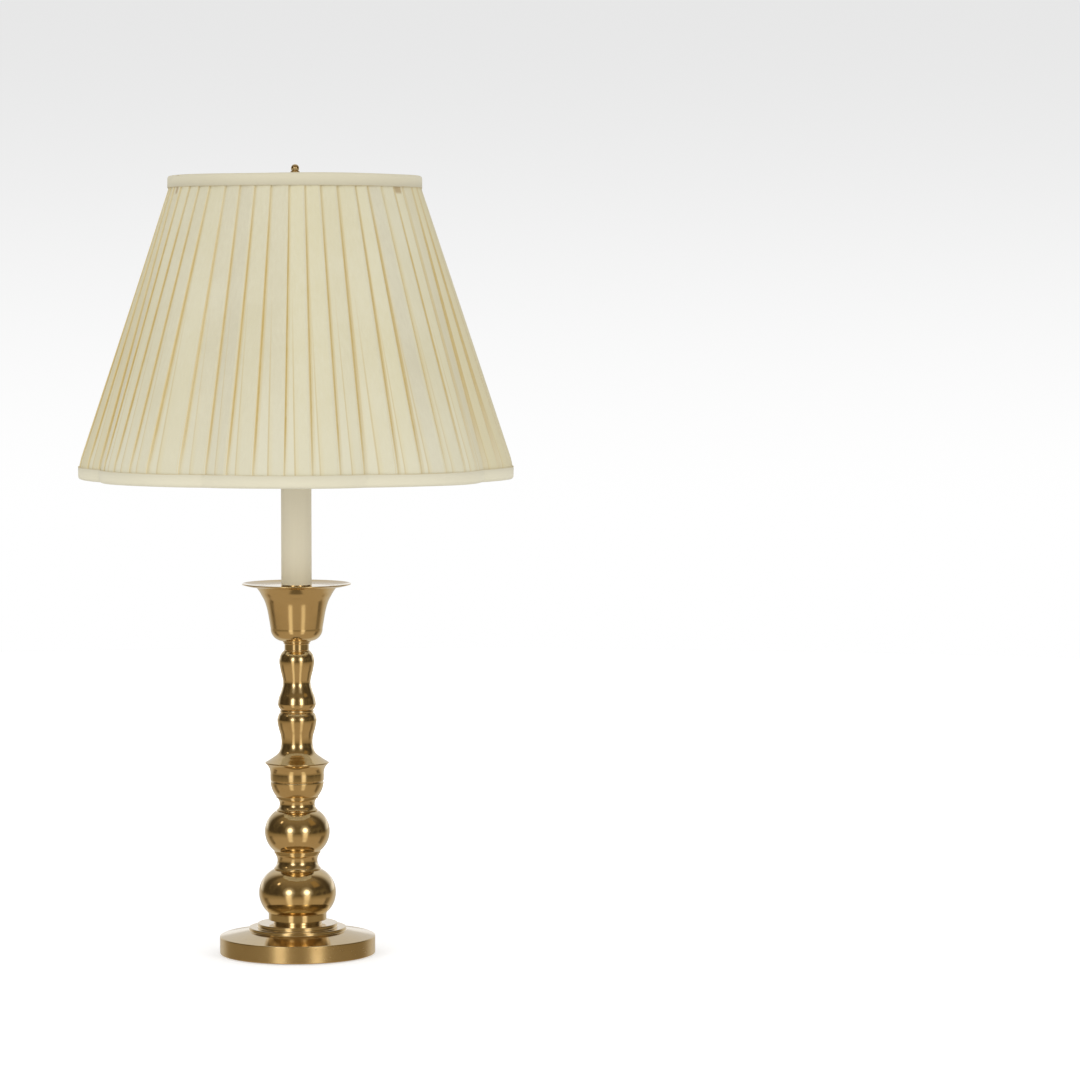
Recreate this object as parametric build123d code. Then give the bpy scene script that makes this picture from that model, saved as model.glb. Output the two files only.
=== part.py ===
from build123d import *
from math import cos, pi, radians, sin, sqrt
import os

# Table lamp in the form of a turned brass candlestick with a pleated, scalloped cloth shade.
# Millimetres, +Z up, -Y to the front. The origin is the middle of the face that it stands on.

# ---- threaded pipe that clamps the whole stem together
rod_radius = 5.1
rod_bore_radius = 3.3
rod_clearance = 0.25
rod_below_washer = 8.0
rod_into_socket = 7.0
nut_across_flats = 15.0
nut_thickness = 4.5
washer_radius = 12.5
washer_thickness = 1.6
hole_radius = rod_radius + rod_clearance

# ---- base
felt_thickness = 1.6
felt_clearance = 0.3
base_lift = 0.5
base_radius = 70.0
base_rim_height = 15.6
base_wall = 3.2
base_edge_round = 0.8
base_crown_rise = 5.2
base_crown_radius = 43.8
step_low_height = 2.8
step_high_radius = 36.0
step_high_height = 3.5
hub_ceiling_drop = 7.5
hub_pocket_radius = 17.0
weight_clearance = 1.0
cord_slot_width = 11.0

# ---- cord inlet at the back of the base
inlet_height = 7.0
inlet_bore_radius = 3.2
bushing_radius = 4.2
bushing_flange_radius = 5.2
bushing_flange = 1.4
bushing_inner_length = 4.0

# ---- turned stem, from the base upwards: height and radii of each piece
neck_height = 3.1
neck_radius = 21.9
drum_radius = 26.0
drum_height = 5.9
bulb_wall = 4.5
lower_bulb_height = 39.4
lower_bulb_foot_height = 0.6
lower_bulb_radius = 34.6
lower_bulb_foot_radius = 26.4
lower_bulb_top_radius = 21.8
lower_spool_height = 15.0
lower_spool_foot_radius = 21.0
lower_spool_waist_radius = 18.0
lower_spool_top_radius = 19.6
lower_spool_flange = 1.4
upper_bulb_height = 38.0
upper_bulb_foot_height = 2.0
upper_bulb_radius = 29.2
upper_bulb_foot_radius = 20.7
upper_bulb_top_radius = 19.7
upper_spool_height = 12.0
upper_spool_foot_radius = 18.4
upper_spool_waist_radius = 15.8
upper_spool_top_radius = 17.2
upper_spool_flange = 1.2
spool_waist_share = 0.54
urn_height = 31.3
urn_foot_radius = 18.9
urn_foot_height = 1.4
urn_body_radius = 24.2
urn_rim_radius = 28.6
urn_groove_height = 15.2
urn_groove_depth = 0.9
urn_flare_height = 4.2
urn_cup_floor = 6.5
lower_column_height = 45.5
lower_column_foot_radius = 28.8
lower_column_foot_edge = 0.9
lower_column_waist_radius = 14.2
lower_column_swell_radius = 17.7
ring_height = 3.4
ring_radius = 15.2
upper_column_height = 52.2
upper_column_shoulder_radius = 17.1
upper_column_waist_radius = 12.4
upper_column_swell_radius = 15.8
collar_height = 9.7
collar_radius = 10.9
collar_ring_radius = 12.6
collar_ring_height = 1.5

# ---- candle cup, drip pan and candle sleeve
cup_height = 48.1
cup_foot_radius = 14.9
cup_belly_radius = 22.7
cup_mouth_radius = 35.2
cup_wall = 1.8
cup_floor = 3.0
pan_radius = 49.0
pan_thickness = 1.1
pan_flat_radius = 34.0
pan_rise = 2.4
seat_radius = 15.3
seat_floor = 0.8
seat_lip_height = 1.8
sleeve_radius = 13.65
sleeve_wall = 1.2
sleeve_length = 150.8
sleeve_clearance = 0.15
cap_overhang = 0.6
cap_thickness = 1.5
cap_plug_depth = 5.0

# ---- harp: saddle, bow, stud and the two locking ferrules
saddle_thickness = 1.6
saddle_width = 10.0
saddle_eye_radius = 10.0
saddle_bend_radius = 6.0
saddle_rise = 7.6
harp_leg_spread = 29.0
harp_height = 203.0
harp_wire_radius = 1.75
harp_post_height = 5.0
harp_leg_corner_share = 0.237
harp_bow_low_share = 0.433
harp_bow_high_share = 0.670
harp_shoulder_drop_share = 0.0985
harp_bow_half_width = 56.0
harp_shoulder_half_width = 38.0
harp_crown_half_width = 9.0
harp_corner_radius_shares = (0.172, 0.295, 0.490, 0.285, 0.115)
ferrule_wall = 1.5
ferrule_length = 14.0
running_clearance = 0.05
stud_boss_radius = 7.0
stud_boss_height = 6.2
stud_wire_drop = 4.0
stud_shoulder_radius = 5.4
stud_shoulder_height = 2.6
stud_pin_radius = 3.1
stud_pin_height = 9.2

# ---- lampholder
holder_cap_height = 15.0
holder_cap_neck_radius = 8.2
holder_cap_neck_height = 4.0
holder_cap_radius = 17.4
holder_sheet = 0.7
holder_shell_radius = 18.4
holder_shell_height = 44.0
holder_lap = 3.2
holder_rim_radius = 19.0
holder_rim_height = 1.4
holder_step_height = 0.6
holder_shoulder_rise = 1.2
liner_thickness = 0.6
layer_gap = 0.15
switch_block_height = 17.0
screw_shell_radius = 13.6
screw_shell_wall = 0.5
screw_shell_height = 24.0
contact_radius = 4.0
contact_height = 1.6
terminal_radius = 2.4
terminal_length = 2.6
spindle_radius = 2.0
spindle_window = 0.6
spindle_reach = 12.0
spindle_depth = 9.0
knob_radius = 5.5
knob_length = 11.0
knob_recess = 1.5
knob_edge_chamfer = 0.8
knob_flutes = 14
knob_flute_radius = 0.6
knob_flute_offset = 0.2

# ---- bulb
bulb_radius = 30.0
bulb_neck_radius = 14.2
bulb_glass_height = 82.0
bulb_glass_wall = 1.0
bulb_cap_length = 23.0
bulb_cap_wall = 0.6
bulb_tip_radius = 4.6
bulb_tip_height = 2.6

# ---- shade
shade_height = 271.5
shade_over_seat = 10.0
shade_top_radius = 113.0
shade_bottom_radius = 194.3
lobes = 8
cusp_ratio = 0.94
pleats = 48
pleat_depth = 1.4
pleat_step_share = 0.10
crease_depth_share = 0.45
crease_share_top = 0.18
crease_share_bottom = 0.42
cloth_thickness = 0.8
cloth_gap = 0.2
knee_above_trim = 3.5
trim_height = 11.5
trim_thickness = 0.8
trim_round = 0.7
frame_ring_radius = 1.5
rib_radius = 1.2
rib_bend_radius = 12.0
ring_corner_radius = 3.0
lining_thickness = 0.5
hub_radius = 12.0
hub_thickness = 3.0
hub_gap = 0.15
arm_count = 3
arm_radius = 1.4
arm_notch_clearance = 0.3

# ---- finial
finial_gap = 0.15
finial_base_radius = 7.2
finial_base_height = 1.3
finial_height = 16.8
finial_ball_radius = 3.7
finial_bead_radius = 4.2
finial_neck_radius = 3.1
finial_hole_spare = 0.3

# ---- levels that follow from the sizes above
base_bottom = base_lift
crown_top = base_bottom + base_rim_height + base_crown_rise
step_low_top = crown_top + step_low_height
base_top = step_low_top + step_high_height
hub_ceiling = base_top - hub_ceiling_drop
drum_bottom = base_top
lower_bulb_bottom = drum_bottom + neck_height + drum_height
lower_spool_bottom = lower_bulb_bottom + lower_bulb_height
upper_bulb_bottom = lower_spool_bottom + lower_spool_height
upper_spool_bottom = upper_bulb_bottom + upper_bulb_height
urn_bottom = upper_spool_bottom + upper_spool_height
lower_column_bottom = urn_bottom + urn_height
ring_bottom = lower_column_bottom + lower_column_height
upper_column_bottom = ring_bottom + ring_height
collar_bottom = upper_column_bottom + upper_column_height
cup_bottom = collar_bottom + collar_height
pan_bottom = cup_bottom + cup_height
seat_bottom = pan_bottom + pan_thickness
sleeve_bottom = seat_bottom + seat_floor
sleeve_top = sleeve_bottom + sleeve_length
saddle_bottom = sleeve_top + cap_thickness
saddle_top = saddle_bottom + saddle_thickness
rod_bottom = hub_ceiling - washer_thickness - rod_below_washer
rod_top = saddle_top + rod_into_socket
post_top = saddle_bottom + saddle_rise + harp_post_height
stud_seat = saddle_top + harp_height
holder_bottom = saddle_top
shell_bottom = holder_bottom + holder_cap_height - holder_lap
shell_top = shell_bottom + holder_shell_height
block_bottom = shell_bottom + 2 * holder_sheet
block_top = block_bottom + switch_block_height
spindle_level = block_bottom + switch_block_height / 2
contact_top = block_top + contact_height
bulb_bottom = contact_top + layer_gap
bulb_cap_bottom = bulb_bottom + bulb_tip_height
shade_top = stud_seat + shade_over_seat
shade_bottom = shade_top - shade_height
collar_line = shade_top - trim_height
knee_line = shade_bottom + trim_height + knee_above_trim
cover_inset = pleat_depth + cloth_thickness
frame_inset = cover_inset + cloth_gap + frame_ring_radius
lining_inset = frame_inset + frame_ring_radius + cloth_gap
inner_trim_inset = lining_inset + lining_thickness + cloth_gap
top_ring_level = shade_top - trim_thickness - cloth_gap - frame_ring_radius
bottom_ring_level = shade_bottom + trim_thickness + cloth_gap + frame_ring_radius
hub_bottom = stud_seat + hub_gap
arm_level = hub_bottom + hub_thickness / 2
finial_bottom = hub_bottom + hub_thickness + finial_gap


# ---------------------------------------------------------------- helpers

def outline(start, *steps):
    """Closed face from radius and height pairs: a pair is a line, two pairs an arc, a list a spline."""
    edges = []
    here = start
    for step in steps:
        if isinstance(step, list):
            edges.append(Spline(here, *step))
            here = step[-1]
        elif isinstance(step[0], tuple):
            edges.append(ThreePointArc(here, step[0], step[1]))
            here = step[1]
        else:
            edges.append(Line(here, step))
            here = step
    if here != start:
        edges.append(Line(here, start))
    return make_face(Plane.XZ * Curve(edges))


def turned(start, *steps):
    """Solid turned about the Z axis from an outline of radius and height pairs."""
    return revolve(outline(start, *steps), Axis.Z)


def tube(outer_radius, inner_radius, bottom, top):
    return turned((inner_radius, bottom), (outer_radius, bottom), (outer_radius, top), (inner_radius, top))


def hex_nut(bottom):
    face = RegularPolygon(nut_across_flats / 2, 6, major_radius=False) - Circle(hole_radius)
    return Pos(0, 0, bottom) * extrude(face, nut_thickness)


def wire_along(line, section):
    """Section swept along a smooth line that lies in the XZ plane."""
    path = Plane.XZ * line
    return sweep(Plane(path @ 0, z_dir=path % 0) * section, path=path)


def lobe_geometry(radius, cusp):
    """Radius of a lobe's arc, and how far its centre lies from the lamp's axis."""
    half_angle = pi / lobes
    half_chord = cusp * radius * sin(half_angle)
    bulge = radius - cusp * radius * cos(half_angle)
    arc_radius = (half_chord ** 2 + bulge ** 2) / (2 * bulge)
    return arc_radius, radius - arc_radius


def lobe_radius(angle, radius, cusp, inset=0.0):
    """Distance from the axis to the lobed outline, moved inwards by inset, at an angle."""
    arc_radius, centre = lobe_geometry(radius, cusp)
    lobe_angle = 2 * pi / lobes
    local = (angle + lobe_angle / 2) % lobe_angle - lobe_angle / 2
    return centre * cos(local) + sqrt((arc_radius - inset) ** 2 - (centre * sin(local)) ** 2)


def lobed_point(angle, radius, cusp, inset):
    reach = lobe_radius(angle, radius, cusp, inset)
    return (reach * sin(angle), -reach * cos(angle))


def lobed_face(radius, cusp, inset):
    """Face bounded by one arc for each lobe. The first lobe is centred on the front."""
    step = 2 * pi / lobes
    arcs = []
    for lobe in range(lobes):
        middle = lobe * step
        ends = [lobed_point(middle + side * step / 2, radius, cusp, inset) for side in (-1, 1)]
        arcs.append(ThreePointArc(ends[0], lobed_point(middle, radius, cusp, inset), ends[1]))
    return make_face(Curve(arcs))


def pleated_face(radius, cusp, crease_share):
    """Outline of the folded cloth: a fold edge, the root beside it and a second crease."""
    step = 2 * pi / pleats
    places = ((0, 0), (pleat_step_share, pleat_depth), (crease_share, pleat_depth * crease_depth_share))
    points = []
    for pleat in range(pleats):
        for share, inset in places:
            points.append(lobed_point((pleat + share) * step, radius, cusp, inset))
    return make_face(Polyline(points, close=True))


def shade_block(top_face, bottom_face, low, high):
    """Solid that fills the shade: a straight skirt, a slanted cone and a straight collar."""
    skirt = Pos(0, 0, low) * extrude(bottom_face, knee_line - low)
    cone = loft([Pos(0, 0, knee_line) * bottom_face, Pos(0, 0, collar_line) * top_face], ruled=True)
    collar = Pos(0, 0, collar_line) * extrude(top_face, high - collar_line)
    return skirt + cone + collar


def smooth_block(inset, low, high):
    top_face = lobed_face(shade_top_radius, 1.0, inset)
    bottom_face = lobed_face(shade_bottom_radius, cusp_ratio, inset)
    return shade_block(top_face, bottom_face, low, high)


# ---------------------------------------------------------------- base

def felt_pad():
    """Disc let into the underside, so that the rim stands just clear of the table."""
    radius = base_radius - base_wall - felt_clearance
    return Pos(0, 0, felt_thickness / 2) * Cylinder(radius, felt_thickness)


def base_plate():
    rim_top = base_bottom + base_rim_height
    cavity_radius = base_radius - base_wall
    body = turned(
        (cavity_radius, base_bottom),
        (base_radius, base_bottom),
        (base_radius, rim_top - base_edge_round),
        ((base_radius - 0.3 * base_edge_round, rim_top - 0.3 * base_edge_round),
         (base_radius - base_edge_round, rim_top)),
        (base_crown_radius, crown_top),
        (base_crown_radius, step_low_top),
        (step_high_radius, step_low_top),
        (step_high_radius, base_top),
        (hole_radius, base_top),
        (hole_radius, hub_ceiling),
        (hub_pocket_radius, hub_ceiling),
        (hub_pocket_radius, rim_top - base_wall),
        (cavity_radius, rim_top - base_wall),
    )
    return body - inlet_cylinder(bushing_radius + layer_gap, cavity_radius / 2, base_radius)


def base_weight():
    """Cast disc that fills the hollow of the base, with a channel for the flex at the back."""
    outer = base_radius - base_wall - weight_clearance
    disc = tube(outer, hub_pocket_radius, felt_thickness, base_bottom + base_rim_height - base_wall)
    channel = Pos(0, base_radius / 2, 0) * Box(cord_slot_width, base_radius, base_radius)
    return disc - channel


def inlet_cylinder(radius, start, end):
    """Cylinder along +Y at the height of the inlet."""
    face = Plane((0, start, inlet_height), x_dir=(1, 0, 0), z_dir=(0, 1, 0)) * Circle(radius)
    return extrude(face, end - start)


def cord_bushing():
    inner_end = base_radius - base_wall - bushing_inner_length
    outer_end = base_radius + bushing_flange
    flange = inlet_cylinder(bushing_flange_radius, base_radius - bushing_flange, outer_end)
    flange -= Pos(0, 0, inlet_height) * Cylinder(base_radius, 4 * bushing_radius)
    barrel = inlet_cylinder(bushing_radius, inner_end, base_radius)
    return flange + barrel - inlet_cylinder(inlet_bore_radius, inner_end, outer_end)


def rod_washer():
    return tube(washer_radius, hole_radius, hub_ceiling - washer_thickness, hub_ceiling)


def rod_nut():
    return hex_nut(hub_ceiling - washer_thickness - nut_thickness)


def threaded_rod():
    return tube(rod_radius, rod_bore_radius, rod_bottom, rod_top)


# ---------------------------------------------------------------- turned stem

def foot_drum():
    return Pos(0, 0, drum_bottom) * turned(
        (hole_radius, 0),
        (neck_radius, 0),
        (neck_radius, neck_height),
        (drum_radius, neck_height),
        (drum_radius, neck_height + drum_height),
        (hole_radius, neck_height + drum_height),
    )


def hollow_bulb(height, foot, foot_height, widest, top):
    """Round swelling with a hollow core, as a cast piece is before it is turned."""
    core_radius = widest / 2
    return turned(
        (hole_radius, 0),
        (foot, 0),
        (foot, foot_height),
        ((widest, (height + foot_height) / 2), (top, height)),
        (hole_radius, height),
        (hole_radius, height - bulb_wall),
        (core_radius, height - bulb_wall),
        ((widest - bulb_wall, height / 2), (core_radius, bulb_wall)),
        (hole_radius, bulb_wall),
    )


def lower_bulb():
    return Pos(0, 0, lower_bulb_bottom) * hollow_bulb(
        height=lower_bulb_height,
        foot=lower_bulb_foot_radius,
        foot_height=lower_bulb_foot_height,
        widest=lower_bulb_radius,
        top=lower_bulb_top_radius,
    )


def upper_bulb():
    return Pos(0, 0, upper_bulb_bottom) * hollow_bulb(
        height=upper_bulb_height,
        foot=upper_bulb_foot_radius,
        foot_height=upper_bulb_foot_height,
        widest=upper_bulb_radius,
        top=upper_bulb_top_radius,
    )


def spool(height, foot, flange, waist, top):
    """Waisted ring between two swellings, with a thin flange at each end."""
    return turned(
        (hole_radius, 0),
        (foot, 0),
        (foot, flange),
        ((waist, height * spool_waist_share), (top, height - flange)),
        (top, height),
        (hole_radius, height),
    )


def lower_spool():
    return Pos(0, 0, lower_spool_bottom) * spool(
        height=lower_spool_height,
        foot=lower_spool_foot_radius,
        flange=lower_spool_flange,
        waist=lower_spool_waist_radius,
        top=lower_spool_top_radius,
    )


def upper_spool():
    return Pos(0, 0, upper_spool_bottom) * spool(
        height=upper_spool_height,
        foot=upper_spool_foot_radius,
        flange=upper_spool_flange,
        waist=upper_spool_waist_radius,
        top=upper_spool_top_radius,
    )


def urn_cup():
    groove = urn_groove_height
    core_radius = urn_body_radius - bulb_wall
    return Pos(0, 0, urn_bottom) * turned(
        (hole_radius, 0),
        (urn_foot_radius, 0),
        (urn_foot_radius, urn_foot_height),
        ((urn_body_radius - 2.3, groove * 0.4), (urn_body_radius - 0.2, groove - urn_groove_depth)),
        (urn_body_radius - urn_groove_depth, groove),
        (urn_body_radius - 0.1, groove + urn_groove_depth),
        (urn_body_radius, groove + 6.0),
        ((urn_body_radius + 1.0, urn_height - urn_flare_height), (urn_rim_radius, urn_height)),
        (hole_radius, urn_height),
        (hole_radius, urn_height - bulb_wall),
        (core_radius, urn_height - bulb_wall),
        (core_radius - 3.0, urn_cup_floor),
        (hole_radius, urn_cup_floor),
    )


def lower_column():
    foot = lower_column_foot_radius
    waist = lower_column_waist_radius
    swell = lower_column_swell_radius
    return Pos(0, 0, lower_column_bottom) * turned(
        (hole_radius, 0),
        (foot, 0),
        (foot, lower_column_foot_edge),
        [(0.58 * foot + 0.37 * waist, 5.2), (waist + 2.5, 9.6), (waist, 16.6), (waist + 0.3, 24.2),
         (swell - 1.2, 31.6), (swell, 38.6), (swell - 0.7, 43.0), (ring_radius + 0.4, lower_column_height)],
        (hole_radius, lower_column_height),
    )


def column_ring():
    return Pos(0, 0, ring_bottom) * turned(
        (hole_radius, 0),
        (ring_radius - 0.8, 0),
        ((ring_radius, ring_height / 2), (ring_radius - 0.8, ring_height)),
        (hole_radius, ring_height),
    )


def upper_column():
    shoulder = upper_column_shoulder_radius
    waist = upper_column_waist_radius
    swell = upper_column_swell_radius
    return Pos(0, 0, upper_column_bottom) * turned(
        (hole_radius, 0),
        (ring_radius, 0),
        ((shoulder - 0.6, 2.1), (shoulder, 5.0)),
        [(shoulder - 0.9, 10.8), (waist + 1.8, 16.2), (waist, 23.6), (waist + 0.9, 29.8), (swell - 1.0, 36.0),
         (swell, 43.0), (swell - 0.9, 48.6), (collar_radius + 1.6, upper_column_height)],
        (hole_radius, upper_column_height),
    )


def neck_collar():
    ring_bottom_level = collar_height - collar_ring_height
    lower_ring = collar_ring_radius - 0.7
    return Pos(0, 0, collar_bottom) * turned(
        (hole_radius, 0),
        (collar_radius + 0.9, 0),
        (collar_radius + 0.9, 0.8),
        (collar_radius, 1.4),
        (collar_radius, ring_bottom_level - collar_ring_height),
        (lower_ring, ring_bottom_level - collar_ring_height + 0.3),
        (lower_ring, ring_bottom_level - 0.3),
        (lower_ring - 0.5, ring_bottom_level),
        (collar_ring_radius, ring_bottom_level + 0.3),
        (collar_ring_radius, collar_height),
        (hole_radius, collar_height),
    )


# ---------------------------------------------------------------- candle cup and sleeve

def candle_cup():
    """Bell that opens upwards, spun with an even wall over a thicker floor."""
    belly = cup_belly_radius
    mouth = cup_mouth_radius
    wall = cup_wall
    return Pos(0, 0, cup_bottom) * turned(
        (hole_radius, 0),
        (cup_foot_radius, 0),
        ((belly - 1.9, 3.7), (belly + 0.6, 11.0)),
        ((belly + 4.3, cup_height * 0.63), (mouth, cup_height)),
        (mouth - 1.1 * wall, cup_height),
        ((belly + 4.3 - wall, cup_height * 0.64), (belly + 0.6 - wall, 11.4)),
        ((belly - 3.9, 5.4), (cup_foot_radius - wall, cup_floor)),
        (hole_radius, cup_floor),
    )


def drip_pan():
    middle = 0.5 * (pan_flat_radius + pan_radius)
    middle_rise = 0.31 * pan_rise
    return Pos(0, 0, pan_bottom) * turned(
        (hole_radius, 0),
        (pan_flat_radius, 0),
        ((middle + 0.5, middle_rise), (pan_radius - 0.4, pan_rise)),
        ((pan_radius, pan_rise + 0.55 * pan_thickness), (pan_radius - 0.5, pan_rise + pan_thickness)),
        ((middle, middle_rise + pan_thickness), (pan_flat_radius, pan_thickness)),
        (hole_radius, pan_thickness),
    )


def candle_seat():
    lip_inner = sleeve_radius + sleeve_clearance
    return Pos(0, 0, seat_bottom) * turned(
        (hole_radius, 0),
        (seat_radius, 0),
        (seat_radius, seat_floor + seat_lip_height - 0.5),
        (seat_radius - 0.5, seat_floor + seat_lip_height),
        (lip_inner, seat_floor + seat_lip_height),
        (lip_inner, seat_floor),
        (hole_radius, seat_floor),
    )


def cup_nut():
    return hex_nut(sleeve_bottom)


def candle_sleeve():
    return tube(sleeve_radius, sleeve_radius - sleeve_wall, sleeve_bottom, sleeve_top)


def sleeve_cap():
    plug_radius = sleeve_radius - sleeve_wall - sleeve_clearance
    return turned(
        (hole_radius, sleeve_top - cap_plug_depth),
        (plug_radius, sleeve_top - cap_plug_depth),
        (plug_radius, sleeve_top),
        (sleeve_radius + cap_overhang, sleeve_top),
        (sleeve_radius + cap_overhang, sleeve_top + cap_thickness),
        (hole_radius, sleeve_top + cap_thickness),
    )


# ---------------------------------------------------------------- harp

def harp_saddle():
    """Bent strip on the pipe, with a round post at the top of each arm for the bow to stand on."""
    middle = saddle_bottom + saddle_thickness / 2
    arm_top = saddle_bottom + saddle_rise
    reach = harp_leg_spread
    corners = [(-reach, arm_top), (-reach, middle), (reach, middle), (reach, arm_top)]
    bend = FilletPolyline(corners, radius=saddle_bend_radius)
    strip = wire_along(bend, Rectangle(saddle_thickness, saddle_width))
    strip += Pos(0, 0, middle) * Cylinder(saddle_eye_radius, saddle_thickness)
    strip -= Pos(0, 0, middle) * Cylinder(hole_radius, 3 * saddle_thickness)
    for side in (-1, 1):
        post = Pos(side * reach, 0, arm_top) * extrude(Circle(harp_wire_radius), harp_post_height)
        strip += post
    return strip


def harp_wire():
    crown = stud_seat - stud_wire_drop
    right = [
        (harp_leg_spread, post_top),
        (harp_leg_spread, saddle_bottom + harp_leg_corner_share * harp_height),
        (harp_bow_half_width, saddle_bottom + harp_bow_low_share * harp_height),
        (harp_bow_half_width, saddle_bottom + harp_bow_high_share * harp_height),
        (harp_shoulder_half_width, crown - harp_shoulder_drop_share * harp_height),
        (harp_crown_half_width, crown),
    ]
    left = [(-across, level) for across, level in reversed(right)]
    radii = [share * harp_height for share in harp_corner_radius_shares]
    radii += reversed(radii)
    return wire_along(FilletPolyline(right + left, radius=radii), Circle(harp_wire_radius))


def harp_stud(bow):
    """Boss that grips the crown of the bow, a shoulder for the shade's hub and a pin for the finial."""
    stud = Pos(0, 0, stud_seat) * turned(
        (0, -stud_boss_height),
        (stud_boss_radius - 1.0, -stud_boss_height),
        (stud_boss_radius, -stud_boss_height + 1.0),
        (stud_boss_radius, 0),
        (stud_shoulder_radius, 0),
        (stud_shoulder_radius, stud_shoulder_height),
        (stud_pin_radius, stud_shoulder_height),
        (stud_pin_radius, stud_pin_height),
        (0, stud_pin_height),
    )
    return stud - bow


def ferrule(side):
    bottom = saddle_bottom + saddle_rise + layer_gap
    inner = harp_wire_radius + running_clearance
    sleeve = tube(inner + ferrule_wall, inner, bottom, bottom + ferrule_length)
    return Pos(side * harp_leg_spread, 0, 0) * sleeve


# ---------------------------------------------------------------- lampholder

def socket_cap():
    sheet = holder_sheet
    neck = holder_cap_neck_radius
    rim = holder_cap_radius
    shoulder = holder_cap_height - holder_lap - layer_gap
    return Pos(0, 0, holder_bottom) * turned(
        (hole_radius, 0),
        (neck, 0),
        (neck, holder_cap_neck_height),
        ((0.82 * rim, 0.55 * shoulder), (rim, shoulder)),
        (rim, holder_cap_height),
        (rim - sheet, holder_cap_height),
        (rim - sheet, shoulder),
        ((0.82 * rim - sheet, 0.55 * shoulder + sheet), (neck - sheet, holder_cap_neck_height + sheet)),
        (hole_radius, holder_cap_neck_height + sheet),
    )


def front_window(radius):
    """Round opening through the front wall of the lampholder for the switch spindle."""
    return front_cylinder(radius, 0, 2 * holder_rim_radius)


def front_cylinder(radius, start, end):
    """Cylinder towards the front at the height of the switch spindle."""
    face = Plane((0, -start, spindle_level), x_dir=(1, 0, 0), z_dir=(0, -1, 0)) * Circle(radius)
    return extrude(face, end - start)


def socket_shell():
    sheet = holder_sheet
    lap_radius = holder_cap_radius - holder_sheet - layer_gap
    wide = holder_shell_radius
    rim = holder_rim_radius
    height = holder_shell_height
    shell = Pos(0, 0, shell_bottom) * turned(
        (lap_radius - sheet, 0),
        (lap_radius, 0),
        (lap_radius, holder_lap),
        (wide, holder_lap + holder_shoulder_rise),
        (wide, height - holder_rim_height - holder_step_height),
        (rim, height - holder_rim_height),
        (rim, height),
        (rim - sheet, height),
        (rim - sheet, height - holder_rim_height + 0.2),
        (wide - sheet, height - holder_rim_height - holder_step_height + 0.2),
        (wide - sheet, holder_lap + holder_shoulder_rise + 0.4),
        (lap_radius - sheet, holder_lap + 0.4),
    )
    return shell - front_window(spindle_radius + spindle_window)


def socket_liner():
    outer = holder_shell_radius - holder_sheet - layer_gap
    liner_bottom = shell_bottom + holder_lap + holder_shoulder_rise + 0.8
    liner_top = shell_top - holder_rim_height - holder_step_height - 0.2
    sleeve = tube(outer, outer - liner_thickness, liner_bottom, liner_top)
    return sleeve - front_window(spindle_radius + spindle_window)


def switch_block():
    radius = holder_cap_radius - 2 * holder_sheet - 2 * layer_gap
    block = Pos(0, 0, block_bottom) * extrude(Circle(radius), switch_block_height)
    bore = front_cylinder(spindle_radius + running_clearance, spindle_depth - layer_gap, 2 * radius)
    return block - bore


def screw_shell():
    inner = screw_shell_radius - screw_shell_wall
    return tube(screw_shell_radius, inner, block_top, block_top + screw_shell_height)


def centre_contact():
    return Pos(0, 0, block_top) * turned(
        (0, 0),
        (contact_radius, 0),
        (contact_radius - 0.8, contact_height),
        (0, contact_height),
    )


def terminal_screws():
    """Two heads under the switch block, where the flex would be clamped."""
    heads = []
    for side in (-1, 1):
        head = Pos(side * (rod_radius + 2.2 * terminal_radius), 0, block_bottom - terminal_length)
        heads.append(head * extrude(Circle(terminal_radius), terminal_length))
    return Compound(children=[part.solid() for part in heads])


def switch_spindle():
    return front_cylinder(spindle_radius, spindle_depth, holder_shell_radius + spindle_reach)


def switch_knob():
    start = holder_shell_radius + spindle_reach + knob_recess - knob_length
    end = start + knob_length
    reach = knob_radius + knob_flute_offset
    knob = front_cylinder(knob_radius, start, end)
    knob = chamfer(knob.edges().sort_by(Axis.Y)[0], knob_edge_chamfer)
    for flute in range(knob_flutes):
        angle = 2 * pi * flute / knob_flutes
        groove = front_cylinder(knob_flute_radius, start - 1, end + 1)
        knob -= Pos(reach * cos(angle), 0, reach * sin(angle)) * groove
    return knob - front_cylinder(spindle_radius, 0, holder_shell_radius + spindle_reach)


# ---------------------------------------------------------------- bulb

def bulb_outline_points(radius, neck):
    """Side of the pear-shaped glass: neck, flank and dome, all from one centre."""
    centre = bulb_glass_height - bulb_radius
    turn = radians(38)
    rise = radians(20)
    flank = (radius * cos(turn), centre - radius * sin(turn))
    via = (radius * cos(rise), centre + radius * sin(rise))
    waist = (neck + 0.22 * (flank[0] - neck), 0.52 * flank[1])
    return waist, flank, via, (0, centre + radius)


def bulb_glass():
    outer = bulb_outline_points(bulb_radius, bulb_neck_radius)
    inner = bulb_outline_points(bulb_radius - bulb_glass_wall, bulb_neck_radius - bulb_glass_wall)
    cap_radius = bulb_cap_radius()
    return Pos(0, 0, bulb_cap_bottom + bulb_cap_length) * turned(
        (cap_radius - bulb_glass_wall, 0),
        (cap_radius, 0),
        (outer[0], outer[1]),
        (outer[2], outer[3]),
        inner[3],
        (inner[2], inner[1]),
        (inner[0], (cap_radius - bulb_glass_wall, 0)),
    )


def bulb_cap_radius():
    return screw_shell_radius - screw_shell_wall - running_clearance


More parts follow.
